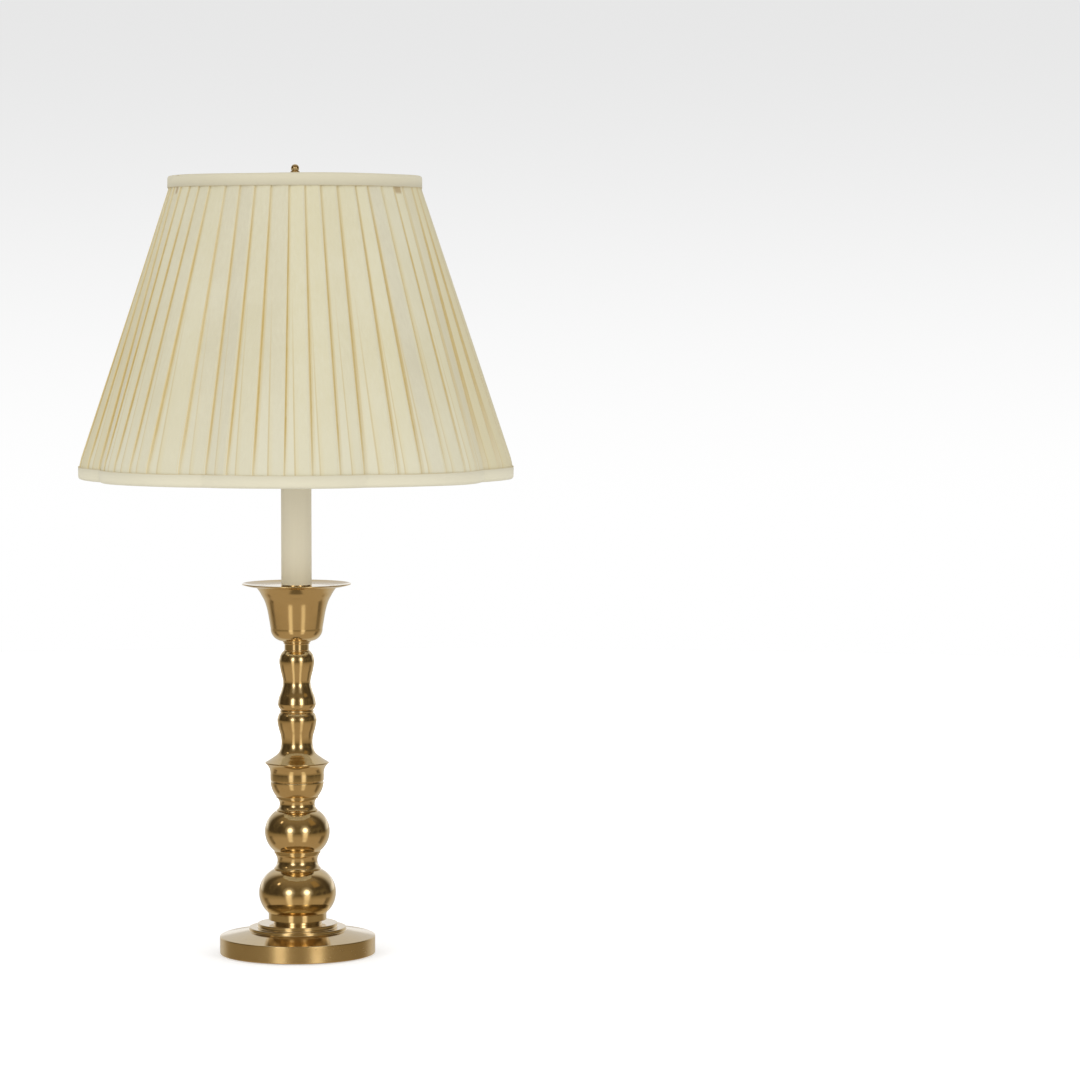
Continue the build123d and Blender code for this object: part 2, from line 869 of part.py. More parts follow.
def bulb_cap():
    radius = bulb_cap_radius()
    wall = bulb_cap_wall
    return Pos(0, 0, bulb_cap_bottom) * turned(
        (bulb_tip_radius, 0),
        (radius - 2.2, 0),
        (radius, 2.4),
        (radius, bulb_cap_length),
        (radius - wall, bulb_cap_length),
        (radius - wall, 2.4 + wall),
        (radius - 2.2 - wall, wall),
        (bulb_tip_radius, wall),
    )


def bulb_tip():
    return Pos(0, 0, bulb_bottom) * turned(
        (0, 0),
        (contact_radius * 0.6, 0),
        (bulb_tip_radius, bulb_tip_height),
        (bulb_tip_radius, bulb_tip_height + bulb_cap_wall),
        (0, bulb_tip_height + bulb_cap_wall),
    )


# ---------------------------------------------------------------- shade

def shade_hub():
    hole = stud_shoulder_radius + running_clearance
    return tube(hub_radius, hole, hub_bottom, hub_bottom + hub_thickness)


def top_ring_radius():
    return shade_top_radius - frame_inset


def top_ring():
    section = Pos(top_ring_radius(), top_ring_level) * Circle(frame_ring_radius)
    return revolve(Plane.XZ * section, Axis.Z)


def arm_rods(radius):
    """Straight rods from the hub to the top ring."""
    start = (hub_radius - 1.5, arm_level)
    end = (top_ring_radius(), top_ring_level)
    rod = wire_along(Line(start, end), Circle(radius))
    return [Rot(0, 0, 90 + 360 / arm_count * arm) * rod for arm in range(arm_count)]


def spider_arms(hub, ring):
    return Compound(children=[(rod - hub - ring).solid() for rod in arm_rods(arm_radius)])


def bottom_ring():
    face = lobed_face(shade_bottom_radius, cusp_ratio, frame_inset)
    face = fillet(face.vertices(), ring_corner_radius)
    path = Pos(0, 0, bottom_ring_level) * face.face().outer_wire()
    return sweep(Plane(path @ 0, z_dir=path % 0) * Circle(frame_ring_radius), path=path)


def shade_ribs(upper_ring, lower_ring):
    """One bent rod for each cusp of the lobed outline."""
    foot = lobe_radius(pi / lobes, shade_bottom_radius, cusp_ratio, frame_inset)
    top = top_ring_radius()
    corners = [(top, top_ring_level), (top, collar_line), (foot, knee_line), (foot, bottom_ring_level)]
    rod = wire_along(FilletPolyline(corners, radius=rib_bend_radius), Circle(rib_radius))
    ribs = []
    for lobe in range(lobes):
        rib = Rot(0, 0, (lobe + 0.5) * 360 / lobes) * rod
        ribs.append((rib - upper_ring - lower_ring).solid())
    return Compound(children=ribs)


def shade_lining():
    low = shade_bottom + trim_thickness + cloth_gap
    high = top_ring_level - arm_radius - arm_notch_clearance
    outer = smooth_block(lining_inset, low, high)
    inner = smooth_block(lining_inset + lining_thickness, low - 1, high + 1)
    return outer - inner


def shade_cover():
    low = shade_bottom + trim_thickness + cloth_gap
    high = shade_top - trim_thickness - cloth_gap
    top_face = pleated_face(shade_top_radius, 1.0, crease_share_top)
    bottom_face = pleated_face(shade_bottom_radius, cusp_ratio, crease_share_bottom)
    return shade_block(top_face, bottom_face, low, high) - smooth_block(cover_inset, low - 1, high + 1)


def top_trim():
    """Tape folded over the top ring, notched round the arms."""
    outer = shade_top_radius + cloth_gap + trim_thickness
    inner = shade_top_radius - inner_trim_inset - trim_thickness
    web = shade_top - trim_thickness
    soft = trim_round
    tape = turned(
        (outer - trim_thickness, collar_line),
        (outer, collar_line),
        (outer, shade_top - soft),
        ((outer - 0.3 * soft, shade_top - 0.3 * soft), (outer - soft, shade_top)),
        (inner + soft, shade_top),
        ((inner + 0.3 * soft, shade_top - 0.3 * soft), (inner, shade_top - soft)),
        (inner, collar_line),
        (inner + trim_thickness, collar_line),
        (inner + trim_thickness, web),
        (outer - trim_thickness, web),
    )
    for rod in arm_rods(arm_radius + arm_notch_clearance):
        tape -= rod
    return tape


def bottom_trim():
    """Tape folded under the bottom ring, following its lobes."""
    def band(outer_inset, inner_inset):
        outer = lobed_face(shade_bottom_radius, cusp_ratio, outer_inset)
        return outer - lobed_face(shade_bottom_radius, cusp_ratio, inner_inset)
    whole = band(-cloth_gap - trim_thickness, inner_trim_inset + trim_thickness)
    channel = band(-cloth_gap, inner_trim_inset)
    tape = Pos(0, 0, shade_bottom) * extrude(whole, trim_height)
    return tape - Pos(0, 0, shade_bottom + trim_thickness) * extrude(channel, trim_height)


def finial():
    """Turned knob: foot, hollowed flare, bead and ball, bored from below for the pin."""
    hole = stud_pin_radius + running_clearance
    hole_top = stud_seat + stud_pin_height + finial_hole_spare - finial_bottom
    ball_centre = finial_height - finial_ball_radius
    bead = ball_centre - finial_ball_radius + 0.5
    start = radians(-38)
    rise = radians(20)
    ball = finial_ball_radius
    return Pos(0, 0, finial_bottom) * turned(
        (hole, 0),
        (finial_base_radius, 0),
        (finial_base_radius, finial_base_height),
        (finial_base_radius - 1.0, finial_base_height + 0.8),
        ((4.7, 5.2), (finial_neck_radius, bead - 1.6)),
        (finial_neck_radius, bead - 0.8),
        ((finial_bead_radius, bead), (finial_neck_radius, bead + 0.8)),
        (ball * cos(start), ball_centre + ball * sin(start)),
        ((ball * cos(rise), ball_centre + ball * sin(rise)), (0, finial_height)),
        (0, hole_top),
        (hole, hole_top),
    )


# ---------------------------------------------------------------- assembly

def build_parts():
    bow = harp_wire()
    hub = shade_hub()
    upper_ring = top_ring()
    lower_ring = bottom_ring()
    return {
        "felt_pad": felt_pad(),
        "base_weight": base_weight(),
        "base_plate": base_plate(),
        "cord_bushing": cord_bushing(),
        "rod_washer": rod_washer(),
        "rod_nut": rod_nut(),
        "threaded_rod": threaded_rod(),
        "foot_drum": foot_drum(),
        "lower_bulb": lower_bulb(),
        "lower_spool": lower_spool(),
        "upper_bulb": upper_bulb(),
        "upper_spool": upper_spool(),
        "urn_cup": urn_cup(),
        "lower_column": lower_column(),
        "column_ring": column_ring(),
        "upper_column": upper_column(),
        "neck_collar": neck_collar(),
        "candle_cup": candle_cup(),
        "drip_pan": drip_pan(),
        "candle_seat": candle_seat(),
        "cup_nut": cup_nut(),
        "candle_sleeve": candle_sleeve(),
        "sleeve_cap": sleeve_cap(),
        "harp_saddle": harp_saddle(),
        "harp_wire": bow,
        "harp_stud": harp_stud(bow),
        "left_ferrule": ferrule(-1),
        "right_ferrule": ferrule(1),
        "socket_cap": socket_cap(),
        "socket_shell": socket_shell(),
        "socket_liner": socket_liner(),
        "switch_block": switch_block(),
        "screw_shell": screw_shell(),
        "centre_contact": centre_contact(),
        "terminal_screws": terminal_screws(),
        "switch_spindle": switch_spindle(),
        "switch_knob": switch_knob(),
        "bulb_glass": bulb_glass(),
        "bulb_cap": bulb_cap(),
        "bulb_tip": bulb_tip(),
        "shade_hub": hub,
        "spider_arms": spider_arms(hub, upper_ring),
        "top_ring": upper_ring,
        "bottom_ring": lower_ring,
        "shade_ribs": shade_ribs(upper_ring, lower_ring),
        "shade_lining": shade_lining(),
        "shade_cover": shade_cover(),
        "top_trim": top_trim(),
        "bottom_trim": bottom_trim(),
        "finial": finial(),
    }


os.makedirs("parts", exist_ok=True)
for name, shape in build_parts().items():
    export_step(shape, f"parts/{name}.step")
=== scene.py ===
import bmesh
import bpy
import math
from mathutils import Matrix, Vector


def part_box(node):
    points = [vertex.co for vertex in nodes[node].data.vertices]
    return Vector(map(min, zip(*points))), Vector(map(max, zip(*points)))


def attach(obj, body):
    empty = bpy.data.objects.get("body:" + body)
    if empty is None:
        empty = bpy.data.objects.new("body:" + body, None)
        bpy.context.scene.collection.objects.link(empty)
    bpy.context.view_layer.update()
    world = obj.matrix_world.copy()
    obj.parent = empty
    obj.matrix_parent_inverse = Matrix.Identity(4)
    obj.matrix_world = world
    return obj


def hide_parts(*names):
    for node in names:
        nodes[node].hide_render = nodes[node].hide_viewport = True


# Brass candlestick lamp with a pleated cloth shade. The scene is in metres, +Z up and -Y to the front;
# outlines and the sizes that feed them are in millimetres.

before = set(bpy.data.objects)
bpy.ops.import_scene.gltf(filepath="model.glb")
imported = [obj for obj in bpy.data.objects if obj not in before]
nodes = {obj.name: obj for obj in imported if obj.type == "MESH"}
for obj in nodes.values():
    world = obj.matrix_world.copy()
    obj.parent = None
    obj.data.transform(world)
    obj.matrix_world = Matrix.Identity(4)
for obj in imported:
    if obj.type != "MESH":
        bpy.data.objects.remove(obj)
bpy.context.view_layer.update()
mm = 0.001
print("frame loaded:", len(nodes), "nodes")


# node sockets that can be used in sums

class Wire:  # an output socket; each sum on it adds a Math node
    def __init__(self, tree, socket):
        self.tree = tree
        self.socket = socket

    def __add__(self, other):
        return self.tree.maths("ADD", self, other)

    def __radd__(self, other):
        return self.tree.maths("ADD", other, self)

    def __sub__(self, other):
        return self.tree.maths("SUBTRACT", self, other)

    def __rsub__(self, other):
        return self.tree.maths("SUBTRACT", other, self)

    def __mul__(self, other):
        return self.tree.maths("MULTIPLY", self, other)

    def __rmul__(self, other):
        return self.tree.maths("MULTIPLY", other, self)

    def __truediv__(self, other):
        return self.tree.maths("DIVIDE", self, other)

    def __rtruediv__(self, other):
        return self.tree.maths("DIVIDE", other, self)

    def __pow__(self, other):
        return self.tree.maths("POWER", self, other)


class Bench:  # a node tree and the one way of putting a node in it
    def __init__(self, tree):
        self.tree = tree

    def node(self, kind, settings=None, inputs=None, output=0):
        made = self.tree.nodes.new(kind)
        for label, value in (settings or {}).items():
            setattr(made, label, value)
        for label, value in (inputs or {}).items():
            self.feed(made.inputs[label], value)
        return Wire(self, made.outputs[output])

    def feed(self, socket, value):
        if isinstance(value, Wire):
            self.tree.links.new(value.socket, socket)
        else:
            socket.default_value = value

    def maths(self, operation, *values):
        return self.node("ShaderNodeMath", {"operation": operation}, dict(enumerate(values)))

    def smooth(self, value, start, end):  # 0 before start, 1 after end
        settings = {"interpolation_type": "SMOOTHSTEP"}
        return self.node("ShaderNodeMapRange", settings, {0: value, 1: start, 2: end, 3: 0.0, 4: 1.0})

    def near(self, value, middle, reach, soft):  # 1 near the middle, 0 past reach plus soft
        return 1 - self.smooth(self.maths("ABSOLUTE", value - middle), reach, reach + soft)

    def mix(self, share, first, second):
        first, second = [(*c, 1) if isinstance(c, tuple) else c for c in (first, second)]
        return self.node("ShaderNodeMix", {"data_type": "RGBA"}, {0: share, 6: first, 7: second}, output=2)

    def split(self, vector):
        parts = self.tree.nodes.new("ShaderNodeSeparateXYZ")
        self.feed(parts.inputs[0], vector)
        return [Wire(self, out) for out in parts.outputs]

    def join(self, x, y, z):
        return self.node("ShaderNodeCombineXYZ", None, {0: x, 1: y, 2: z})

    def noise(self, place, scale, detail=3.0, rough=0.5):
        inputs = {"Vector": place, "Scale": scale, "Detail": detail, "Roughness": rough}
        return self.node("ShaderNodeTexNoise", None, inputs)


class Finish(Bench):  # one material
    def __init__(self, name, look):
        self.material = bpy.data.materials.new(name)
        self.material.use_nodes = True
        super().__init__(self.material.node_tree)
        self.shader = self.tree.nodes["Principled BSDF"]
        for label, value in look.items():
            self.shader.inputs[label].default_value = (*value, 1) if isinstance(value, tuple) else value

    def place(self):  # Object coordinates
        return self.node("ShaderNodeTexCoord", None, None, output=3)

    def sheetPlace(self):  # width and length across a piece of cloth, in metres
        return self.node("ShaderNodeUVMap", {"uv_map": "clothPlace"})

    def stretch(self, place, scales):
        return self.node("ShaderNodeMapping", None, {"Vector": place, "Scale": scales})

    def tones(self, name, share):  # between the two colours of a plain finish
        return self.mix(share, *finishTones[name])

    def windings(self, place, pitch):  # turns of a screw thread, counted up the axis
        x, y, z = self.split(place)
        return z / pitch + self.maths("ARCTAN2", y, x) / (2 * math.pi)

    def surface(self, colour, roughness, height, depth):  # depth of the relief in metres
        bump = self.node("ShaderNodeBump", None, {"Height": height, "Distance": depth})
        for label, value in {"Base Color": colour, "Roughness": roughness, "Normal": bump}.items():
            self.feed(self.shader.inputs[label], value)
        return self.material


# brass finishes

brassLook = {
    "bright": (0.84, 0.66, 0.37),
    "warm": (0.70, 0.51, 0.25),
    "spot": (0.32, 0.20, 0.09),
    "lineScale": 1500.0,
    "cloudScale": 26.0,
    "spotScale": 420.0,
    "lacquer": 0.8,
    "satinEdge": 0.0006,
}


def brass(name, roughness, lineDepth, age=1.0, satinFrom=None, satinRoughness=0.3):
    look = brassLook
    lacquer = {"Coat Weight": look["lacquer"], "Coat Roughness": 0.05, "Coat IOR": 1.5}
    finish = Finish(name, dict(lacquer, Metallic=1.0))
    place = finish.place()
    x, y, z = finish.split(place)
    radius = finish.maths("SQRT", x * x + y * y)
    rings = finish.noise(finish.join(radius, 0.0, z), look["lineScale"], 2.0)
    cloud = finish.noise(place, look["cloudScale"], 4.0, 0.6)
    smear = finish.noise(finish.stretch(place, (60, 60, 240)), 1.0, 3.0, 0.6)
    spots = finish.smooth(finish.noise(place, look["spotScale"], 2.0), 0.71, 0.76)
    tone = finish.mix(finish.smooth(cloud, 0.35, 0.75) * 0.55 * age, look["bright"], look["warm"])
    tone = finish.mix(spots * 0.45 * age, tone, look["spot"])
    gloss = roughness + cloud * 0.05 * age + smear * 0.04 * age + spots * 0.1
    if satinFrom is not None:
        gloss = gloss + finish.smooth(radius, satinFrom, satinFrom + look["satinEdge"]) * satinRoughness
    return finish.surface(tone, gloss, rings + cloud * 0.4, lineDepth)


# plain finishes

finishTones = {
    "steel": ((0.56, 0.57, 0.58), (0.42, 0.42, 0.41)),
    "pipe": ((0.60, 0.58, 0.52), (0.46, 0.43, 0.36)),
    "iron": ((0.055, 0.052, 0.05), (0.16, 0.075, 0.035)),
    "felt": ((0.018, 0.06, 0.03), (0.07, 0.16, 0.085)),
    "black": ((0.012, 0.011, 0.010), (0.03, 0.027, 0.024)),
    "ivory": ((0.94, 0.875, 0.685), (0.85, 0.775, 0.565)),
    "fibre": ((0.34, 0.26, 0.17), (0.22, 0.155, 0.09)),
    "glass": ((0.93, 0.93, 0.90), (0.88, 0.88, 0.84)),
    "bulbMetal": ((0.62, 0.60, 0.56), (0.50, 0.47, 0.42)),
    "lining": ((0.80, 0.765, 0.67), (0.72, 0.67, 0.55)),
    # one tape in two tones: the top trim painted darker as painted shade, the bottom trim paler as painted
    # light from the floor below
    "topTape": ((0.77, 0.72, 0.555), (0.70, 0.645, 0.465)),
    "bottomTape": ((0.845, 0.80, 0.625), (0.77, 0.715, 0.53)),
}
threadSizes = {"pipePitch": 0.00094, "bulbPitch": 0.0036}


def steel():
    finish = Finish("plated steel", {"Metallic": 1.0})
    place = finish.place()
    cloud = finish.noise(place, 60.0, 4.0)
    grain = finish.noise(place, 900.0, 2.0)
    return finish.surface(finish.tones("steel", cloud), 0.22 + cloud * 0.18, grain, 0.00003)


def screwSteel():  # plated pipe with its thread as relief
    finish = Finish("threaded steel", {"Metallic": 1.0})
    place = finish.place()
    thread = finish.maths("PINGPONG", finish.windings(place, threadSizes["pipePitch"]), 0.5)
    tone = finish.tones("pipe", finish.noise(place, 80.0))
    return finish.surface(tone, 0.3 + thread * 0.2, thread, 0.0006)


def castIron():
    finish = Finish("cast iron", {})
    place = finish.place()
    grain = finish.noise(place, 700.0, 5.0, 0.7)
    rust = finish.smooth(finish.noise(place, 45.0, 5.0, 0.65), 0.52, 0.72)
    return finish.surface(finish.tones("iron", rust * 0.7), 0.62 + grain * 0.25, grain, 0.0004)


def felt():
    finish = Finish("green felt", {"Sheen Weight": 0.35, "Sheen Roughness": 0.5})
    place = finish.place()
    fibre = finish.noise(finish.stretch(place, (2600, 2600, 900)), 1.0, 4.0, 0.7)
    lint = finish.noise(finish.stretch(place, (420, 900, 420)), 1.0, 3.0, 0.8)
    tone = finish.tones("felt", fibre * 0.6 + lint * 0.3)
    return finish.surface(tone, 0.88 + fibre * 0.1, fibre + lint, 0.0004)


def blackPlastic():
    finish = Finish("black phenolic", {})
    haze = finish.noise(finish.place(), 500.0, 4.0)
    return finish.surface(finish.tones("black", haze), 0.28 + haze * 0.14, haze, 0.00003)


def sleevePlastic():
    finish = Finish("ivory sleeve", {"Specular IOR Level": 0.4})
    place = finish.place()
    streak = finish.noise(finish.stretch(place, (900, 900, 14)), 1.0, 4.0, 0.6)
    cloud = finish.noise(place, 18.0, 3.0)
    tone = finish.tones("ivory", streak * 0.4 + cloud * 0.4)
    return finish.surface(tone, 0.40 + streak * 0.12, streak, 0.00004)


def fibreLiner():
    finish = Finish("fibre liner", {})
    fibre = finish.noise(finish.stretch(finish.place(), (500, 500, 1500)), 1.0, 4.0, 0.7)
    return finish.surface(finish.tones("fibre", fibre), 0.8 + fibre * 0.1, fibre, 0.0001)


def frostedGlass():
    finish = Finish("frosted glass", {"Transmission Weight": 0.35, "IOR": 1.45})
    place = finish.place()
    bloom = finish.noise(place, 120.0, 3.0)
    grain = finish.noise(place, 2200.0, 2.0)
    return finish.surface(finish.tones("glass", bloom), 0.38 + bloom * 0.12, grain, 0.00002)


def bulbMetal():
    finish = Finish("bulb metal", {"Metallic": 1.0})
    place = finish.place()
    cloud = finish.noise(place, 90.0)
    thread = finish.maths("SINE", finish.windings(place, threadSizes["bulbPitch"]) * (2 * math.pi))
    return finish.surface(finish.tones("bulbMetal", cloud), 0.25 + cloud * 0.15, thread, 0.0009)


# cloth

clothLook = {
    "cream": (0.735, 0.682, 0.465),
    "pale": (0.795, 0.760, 0.590),
    "grey": (0.665, 0.620, 0.465),
    "fold": (0.600, 0.445, 0.165),
    "glow": (0.745, 0.630, 0.340),
    "crease": (0.850, 0.700, 0.380),
    "flank": (0.700, 0.610, 0.350),
    "shade": (0.640, 0.520, 0.270),
    "stain": (0.400, 0.255, 0.100),
    "threadPitch": 0.00042,
    "waterMarks": ((-1.10, 0.012), (0.98, 0.026)),
    "waterHeight": (0.934, 0.945),
}


def weave(finish, place, pitch):  # plain weave seen as crossing threads
    across, along, spare = finish.split(place)
    warp = finish.maths("SINE", across * (math.pi / pitch))
    weft = finish.maths("SINE", along * (math.pi / pitch))
    return finish.maths("ABSOLUTE", warp * weft)


def plainCloth(name, tones, seam=0.0):
    finish = Finish(name, {"Sheen Weight": 0.15, "Sheen Roughness": 0.4})
    place = finish.sheetPlace()
    threads = weave(finish, place, clothLook["threadPitch"])
    slub = finish.noise(finish.stretch(place, (260, 1800, 1)), 1.0, 3.0, 0.6)
    cloud = finish.noise(finish.place(), 14.0, 4.0, 0.6)
    tone = finish.tones(tones, slub * 0.3 + cloud * 0.5 + threads * 0.05)
    if seam:  # glue and shadow along the edge that meets the pleats
        across, along, spare = finish.split(place)
        patchy = finish.noise(finish.stretch(place, (330, 1, 1)), 1.0, 3.0, 0.6)
        edge = 1 - finish.smooth(along, seam, seam + 0.0005)
        edge = edge * (0.12 + 0.38 * finish.smooth(patchy, 0.38, 0.62))
        tone = finish.mix(edge, tone, clothLook["fold"])
    return finish.surface(tone, 0.78 + slub * 0.12, slub, 0.00008)


# outlines and the meshes made from them

def arcPoints(start, via, end, bend=2.5):
    ax, ay = start
    bx, by = via[0] - ax, via[1] - ay
    cx, cy = end[0] - ax, end[1] - ay
    cross = 2 * (bx * cy - by * cx)
    ux = (cy * (bx * bx + by * by) - by * (cx * cx + cy * cy)) / cross
    uy = (bx * (cx * cx + cy * cy) - cx * (bx * bx + by * by)) / cross
    radius = math.hypot(ux, uy)
    angles = [math.atan2(p[1] - uy, p[0] - ux) for p in ((0, 0), (bx, by), (cx, cy))]
    full = 2 * math.pi
    toVia = (angles[1] - angles[0]) % full
    toEnd = (angles[2] - angles[0]) % full
    sweep = toEnd if toVia < toEnd else toEnd - full
    count = max(4, int(abs(math.degrees(sweep)) / bend))
    made = []
    for i in range(1, count + 1):
        angle = angles[0] + sweep * i / count
        made.append((ax + ux + radius * math.cos(angle), ay + uy + radius * math.sin(angle)))
    return made


def curvePoints(points, pieces=9):  # smooth line through all the points
    made = []
    for i in range(len(points) - 1):
        p1, p2 = Vector(points[i]), Vector(points[i + 1])
        p0 = Vector(points[i - 1]) if i else 2 * p1 - p2
        p3 = Vector(points[i + 2]) if i + 2 < len(points) else 2 * p2 - p1
        for j in range(1, pieces + 1):
            t = j / pieces
            q = 0.5 * (2 * p1 + (p2 - p0) * t + (2 * p0 - 5 * p1 + 4 * p2 - p3) * t ** 2
                       + (3 * p1 - p0 - 3 * p2 + p3) * t ** 3)
            made.append((q.x, q.y))
    return made


def outline(start, *steps):  # a pair is a line, two pairs an arc, a list a smooth curve
    points = [start]
    for step in steps:
        here = points[-1]
        if isinstance(step, list):
            points += curvePoints([here] + step)
        elif isinstance(step[0], tuple):
            points += arcPoints(here, step[0], step[1])
        else:
            points.append(step)
    return points


cornerShape = {"sharp": 22, "hold": 1.8, "side": 0.24, "pull": 0.28}  # degrees, then shares


def easeCorners(points, ease, s=cornerShape):  # a small round at each corner, held by points beside it
    made = []
    count = len(points)
    for i, point in enumerate(points):
        here = Vector(point)
        before = Vector(points[i - 1]) - here
        after = Vector(points[(i + 1) % count]) - here
        if before.length < 1e-7 or after.length < 1e-7:
            continue
        turn = math.degrees((-before).angle(after))
        if turn < s["sharp"] or here.x < 1e-6:
            made.append(tuple(here))
            continue
        back, on = before.normalized(), after.normalized()
        backMost, onMost = before.length * s["side"], after.length * s["side"]
        for share in (s["hold"], 1.0):
            made.append(tuple(here + back * min(ease * share, backMost * share)))
        made.append(tuple(here + (back + on) * min(ease, backMost, onMost) * s["pull"]))
        for share in (1.0, s["hold"]):
            made.append(tuple(here + on * min(ease * share, onMost * share)))
    return made


def sweepRound(name, points, placeOf, steps, closed=True, ease=0.3, weld=True):
    line = easeCorners(points, ease) if ease else points
    lengths = [0.0]
    for a, b in zip(line, line[1:] + line[:1]):
        lengths.append(lengths[-1] + math.dist(a, b))
    mesh = bmesh.new()
    cloth = mesh.loops.layers.uv.new("clothPlace")
    rows = []
    for step in range(steps):
        angle = 2 * math.pi * step / steps
        rows.append([mesh.verts.new(placeOf(angle, point)) for point in line])
    count = len(line) if closed else len(line) - 1
    widest = max(point[0] for point in line)
    for step in range(steps):
        now, then = rows[step], rows[(step + 1) % steps]
        for i in range(count):
            j = (i + 1) % len(line)
            face = mesh.faces.new((now[i], then[i], then[j], now[j]))
            face.smooth = True
            wide = 2 * math.pi * widest * mm / steps
            corners = ((step, i), (step + 1, i), (step + 1, i + 1), (step, i + 1))
            for loop, (across, along) in zip(face.loops, corners):
                loop[cloth].uv = (across * wide, lengths[along] * mm)
    if weld:
        bmesh.ops.remove_doubles(mesh, verts=mesh.verts, dist=1e-7)
        bmesh.ops.recalc_face_normals(mesh, faces=mesh.faces)
    return finishMesh(name, mesh)


def finishMesh(name, mesh):
    data = bpy.data.meshes.new(name)
    mesh.to_mesh(data)
    mesh.free()
    made = bpy.data.objects.new(name, data)
    bpy.context.scene.collection.objects.link(made)
    return made


def around(angle, point, lift=0.0):  # angle 0 is the front, turning towards +X
    radius = point[0] * mm
    return (radius * math.sin(angle), -radius * math.cos(angle), point[1] * mm + lift)


def turned(name, node, points, ease=0.3, steps=160):  # heights are above the bottom of the node
    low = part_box(node)[0][2]
    return sweepRound(name, points, lambda angle, point: around(angle, point, low), steps, ease=ease)


def settle(piece, body, slotName, material, *replaced):
    piece.data.materials.clear()
    piece.data.materials.append(material)
    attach(piece, body)
    if replaced:
        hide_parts(*replaced)
    return piece


def smoothCopy(name, node, sharp=32):  # the CAD piece with its facets merged and shaded round
    mesh = bmesh.new()
    mesh.from_mesh(nodes[node].data)
    bmesh.ops.remove_doubles(mesh, verts=mesh.verts, dist=2e-6)
    for face in mesh.faces:
        face.smooth = True
    for edge in mesh.edges:
        if len(edge.link_faces) == 2:
            edge.smooth = edge.calc_face_angle(0) < math.radians(sharp)
    return finishMesh(name, mesh)


def dress(material, *names):  # a carried-over CAD piece keeps its mesh and gets a finish
    for name in names:
        data = nodes[name].data
        if not data.materials:
            data.materials.append(material)
        for i in range(len(data.materials)):
            data.materials[i] = material


def reach(node):  # largest radius of a round node, in millimetres
    low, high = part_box(node)
    return (high[0] - low[0]) / 2 / mm


def tall(node):
    low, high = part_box(node)
    return (high[2] - low[2]) / mm


def pieceName(node):  # lower_bulb becomes lowerBulb
    words = node.split("_")
    return words[0] + "".join(word.capitalize() for word in words[1:])


# finishes

polished = brass("polished brass", 0.075, 0.000010)
spun = brass("spun brass", 0.085, 0.000016)
satin = brass("base brass", 0.10, 0.000022, satinFrom=0.0692, satinRoughness=0.11)
plainBrass = brass("harp brass", 0.16, 0.00002, age=1.3)
holderBrass = brass("holder brass", 0.20, 0.00004, age=1.1)
frameBrass = brass("frame brass", 0.24, 0.00003, age=1.4)
steelFinish = steel()
threadFinish = screwSteel()
ironFinish = castIron()
feltFinish = felt()
blackFinish = blackPlastic()
ivoryFinish = sleevePlastic()
fibreFinish = fibreLiner()
glassFinish = frostedGlass()
bulbFinish = bulbMetal()
liningFinish = plainCloth("lining cloth", "lining")
topTape = plainCloth("top trim tape", "topTape", seam=0.0011)
bottomTape = plainCloth("bottom trim tape", "bottomTape", seam=0.0011)
print("finishes made")


# base

hole = 5.35  # radius of the bore through the base, the stem, the cup and the pan
baseSizes = {"wall": 3.2, "rimHeight": 15.6, "rise": 5.2, "crown": 43.8, "stepLow": 2.8, "stepRadius": 36.0,
             "pocket": 17.0, "pocketDrop": 7.5}


def makeBase(s):
    wide = reach("base_plate")
    top = tall("base_plate")
    crownTop = s["rimHeight"] + s["rise"]
    stepTop = crownTop + s["stepLow"]
    cavity = wide - s["wall"]
    roof = s["rimHeight"] - s["wall"]
    points = outline(
        (cavity, 0), (wide, 0), (wide, s["rimHeight"]), (s["crown"], crownTop), (s["crown"], stepTop),
        (s["stepRadius"], stepTop), (s["stepRadius"], top), (hole, top), (hole, top - s["pocketDrop"]),
        (s["pocket"], top - s["pocketDrop"]), (s["pocket"], roof), (cavity, roof),
    )
    base = turned("baseShell", "base_plate", points, ease=0.55, steps=256)
    settle(base, "stand", "satin_brass", satin, "base_plate")


def makeFelt():
    wide, thick = reach("felt_pad"), tall("felt_pad")
    points = outline((0, 0), (wide, 0), (wide, thick), (0, thick))
    pad = turned("feltPad", "felt_pad", points, ease=0.4, steps=128)
    settle(pad, "stand", "green_felt", feltFinish, "felt_pad")
    return pad


makeBase(baseSizes)
feltPad = makeFelt()
feltRadius = reach("felt_pad") * mm
print("base made")


# turned stem

def drumLine(s):
    top = tall("foot_drum")
    return outline((hole, 0), (s["neck"], 0), (s["neck"], s["neckHeight"]), (s["drum"], s["neckHeight"]),
                   (s["drum"], top), (hole, top))


def bulbLine(s):
    top = tall(s["node"])
    widest = s["widest"]
    return outline((hole, 0), (s["foot"], 0), (s["foot"], s["footHeight"]),
                   ((widest, (top + s["footHeight"]) / 2), (s["top"], top)), (hole, top))


def spoolLine(s):
    top = tall(s["node"])
    flange = s["flange"]
    return outline((hole, 0), (s["foot"], 0), (s["foot"], flange),
                   ((s["waist"], top * 0.54), (s["top"], top - flange)), (s["top"], top), (hole, top))


def urnLine(s):
    top = tall("urn_cup")
    body, groove, depth = s["body"], s["groove"], s["depth"]
    return outline((hole, 0), (s["foot"], 0), (s["foot"], 1.4),
                   ((body - 2.3, groove * 0.4), (body - 0.2, groove - depth)), (body - depth, groove),
                   (body - 0.1, groove + depth), (body, groove + 6.0),
                   ((body + 1.0, top - 4.2), (s["rim"], top)), (hole, top))


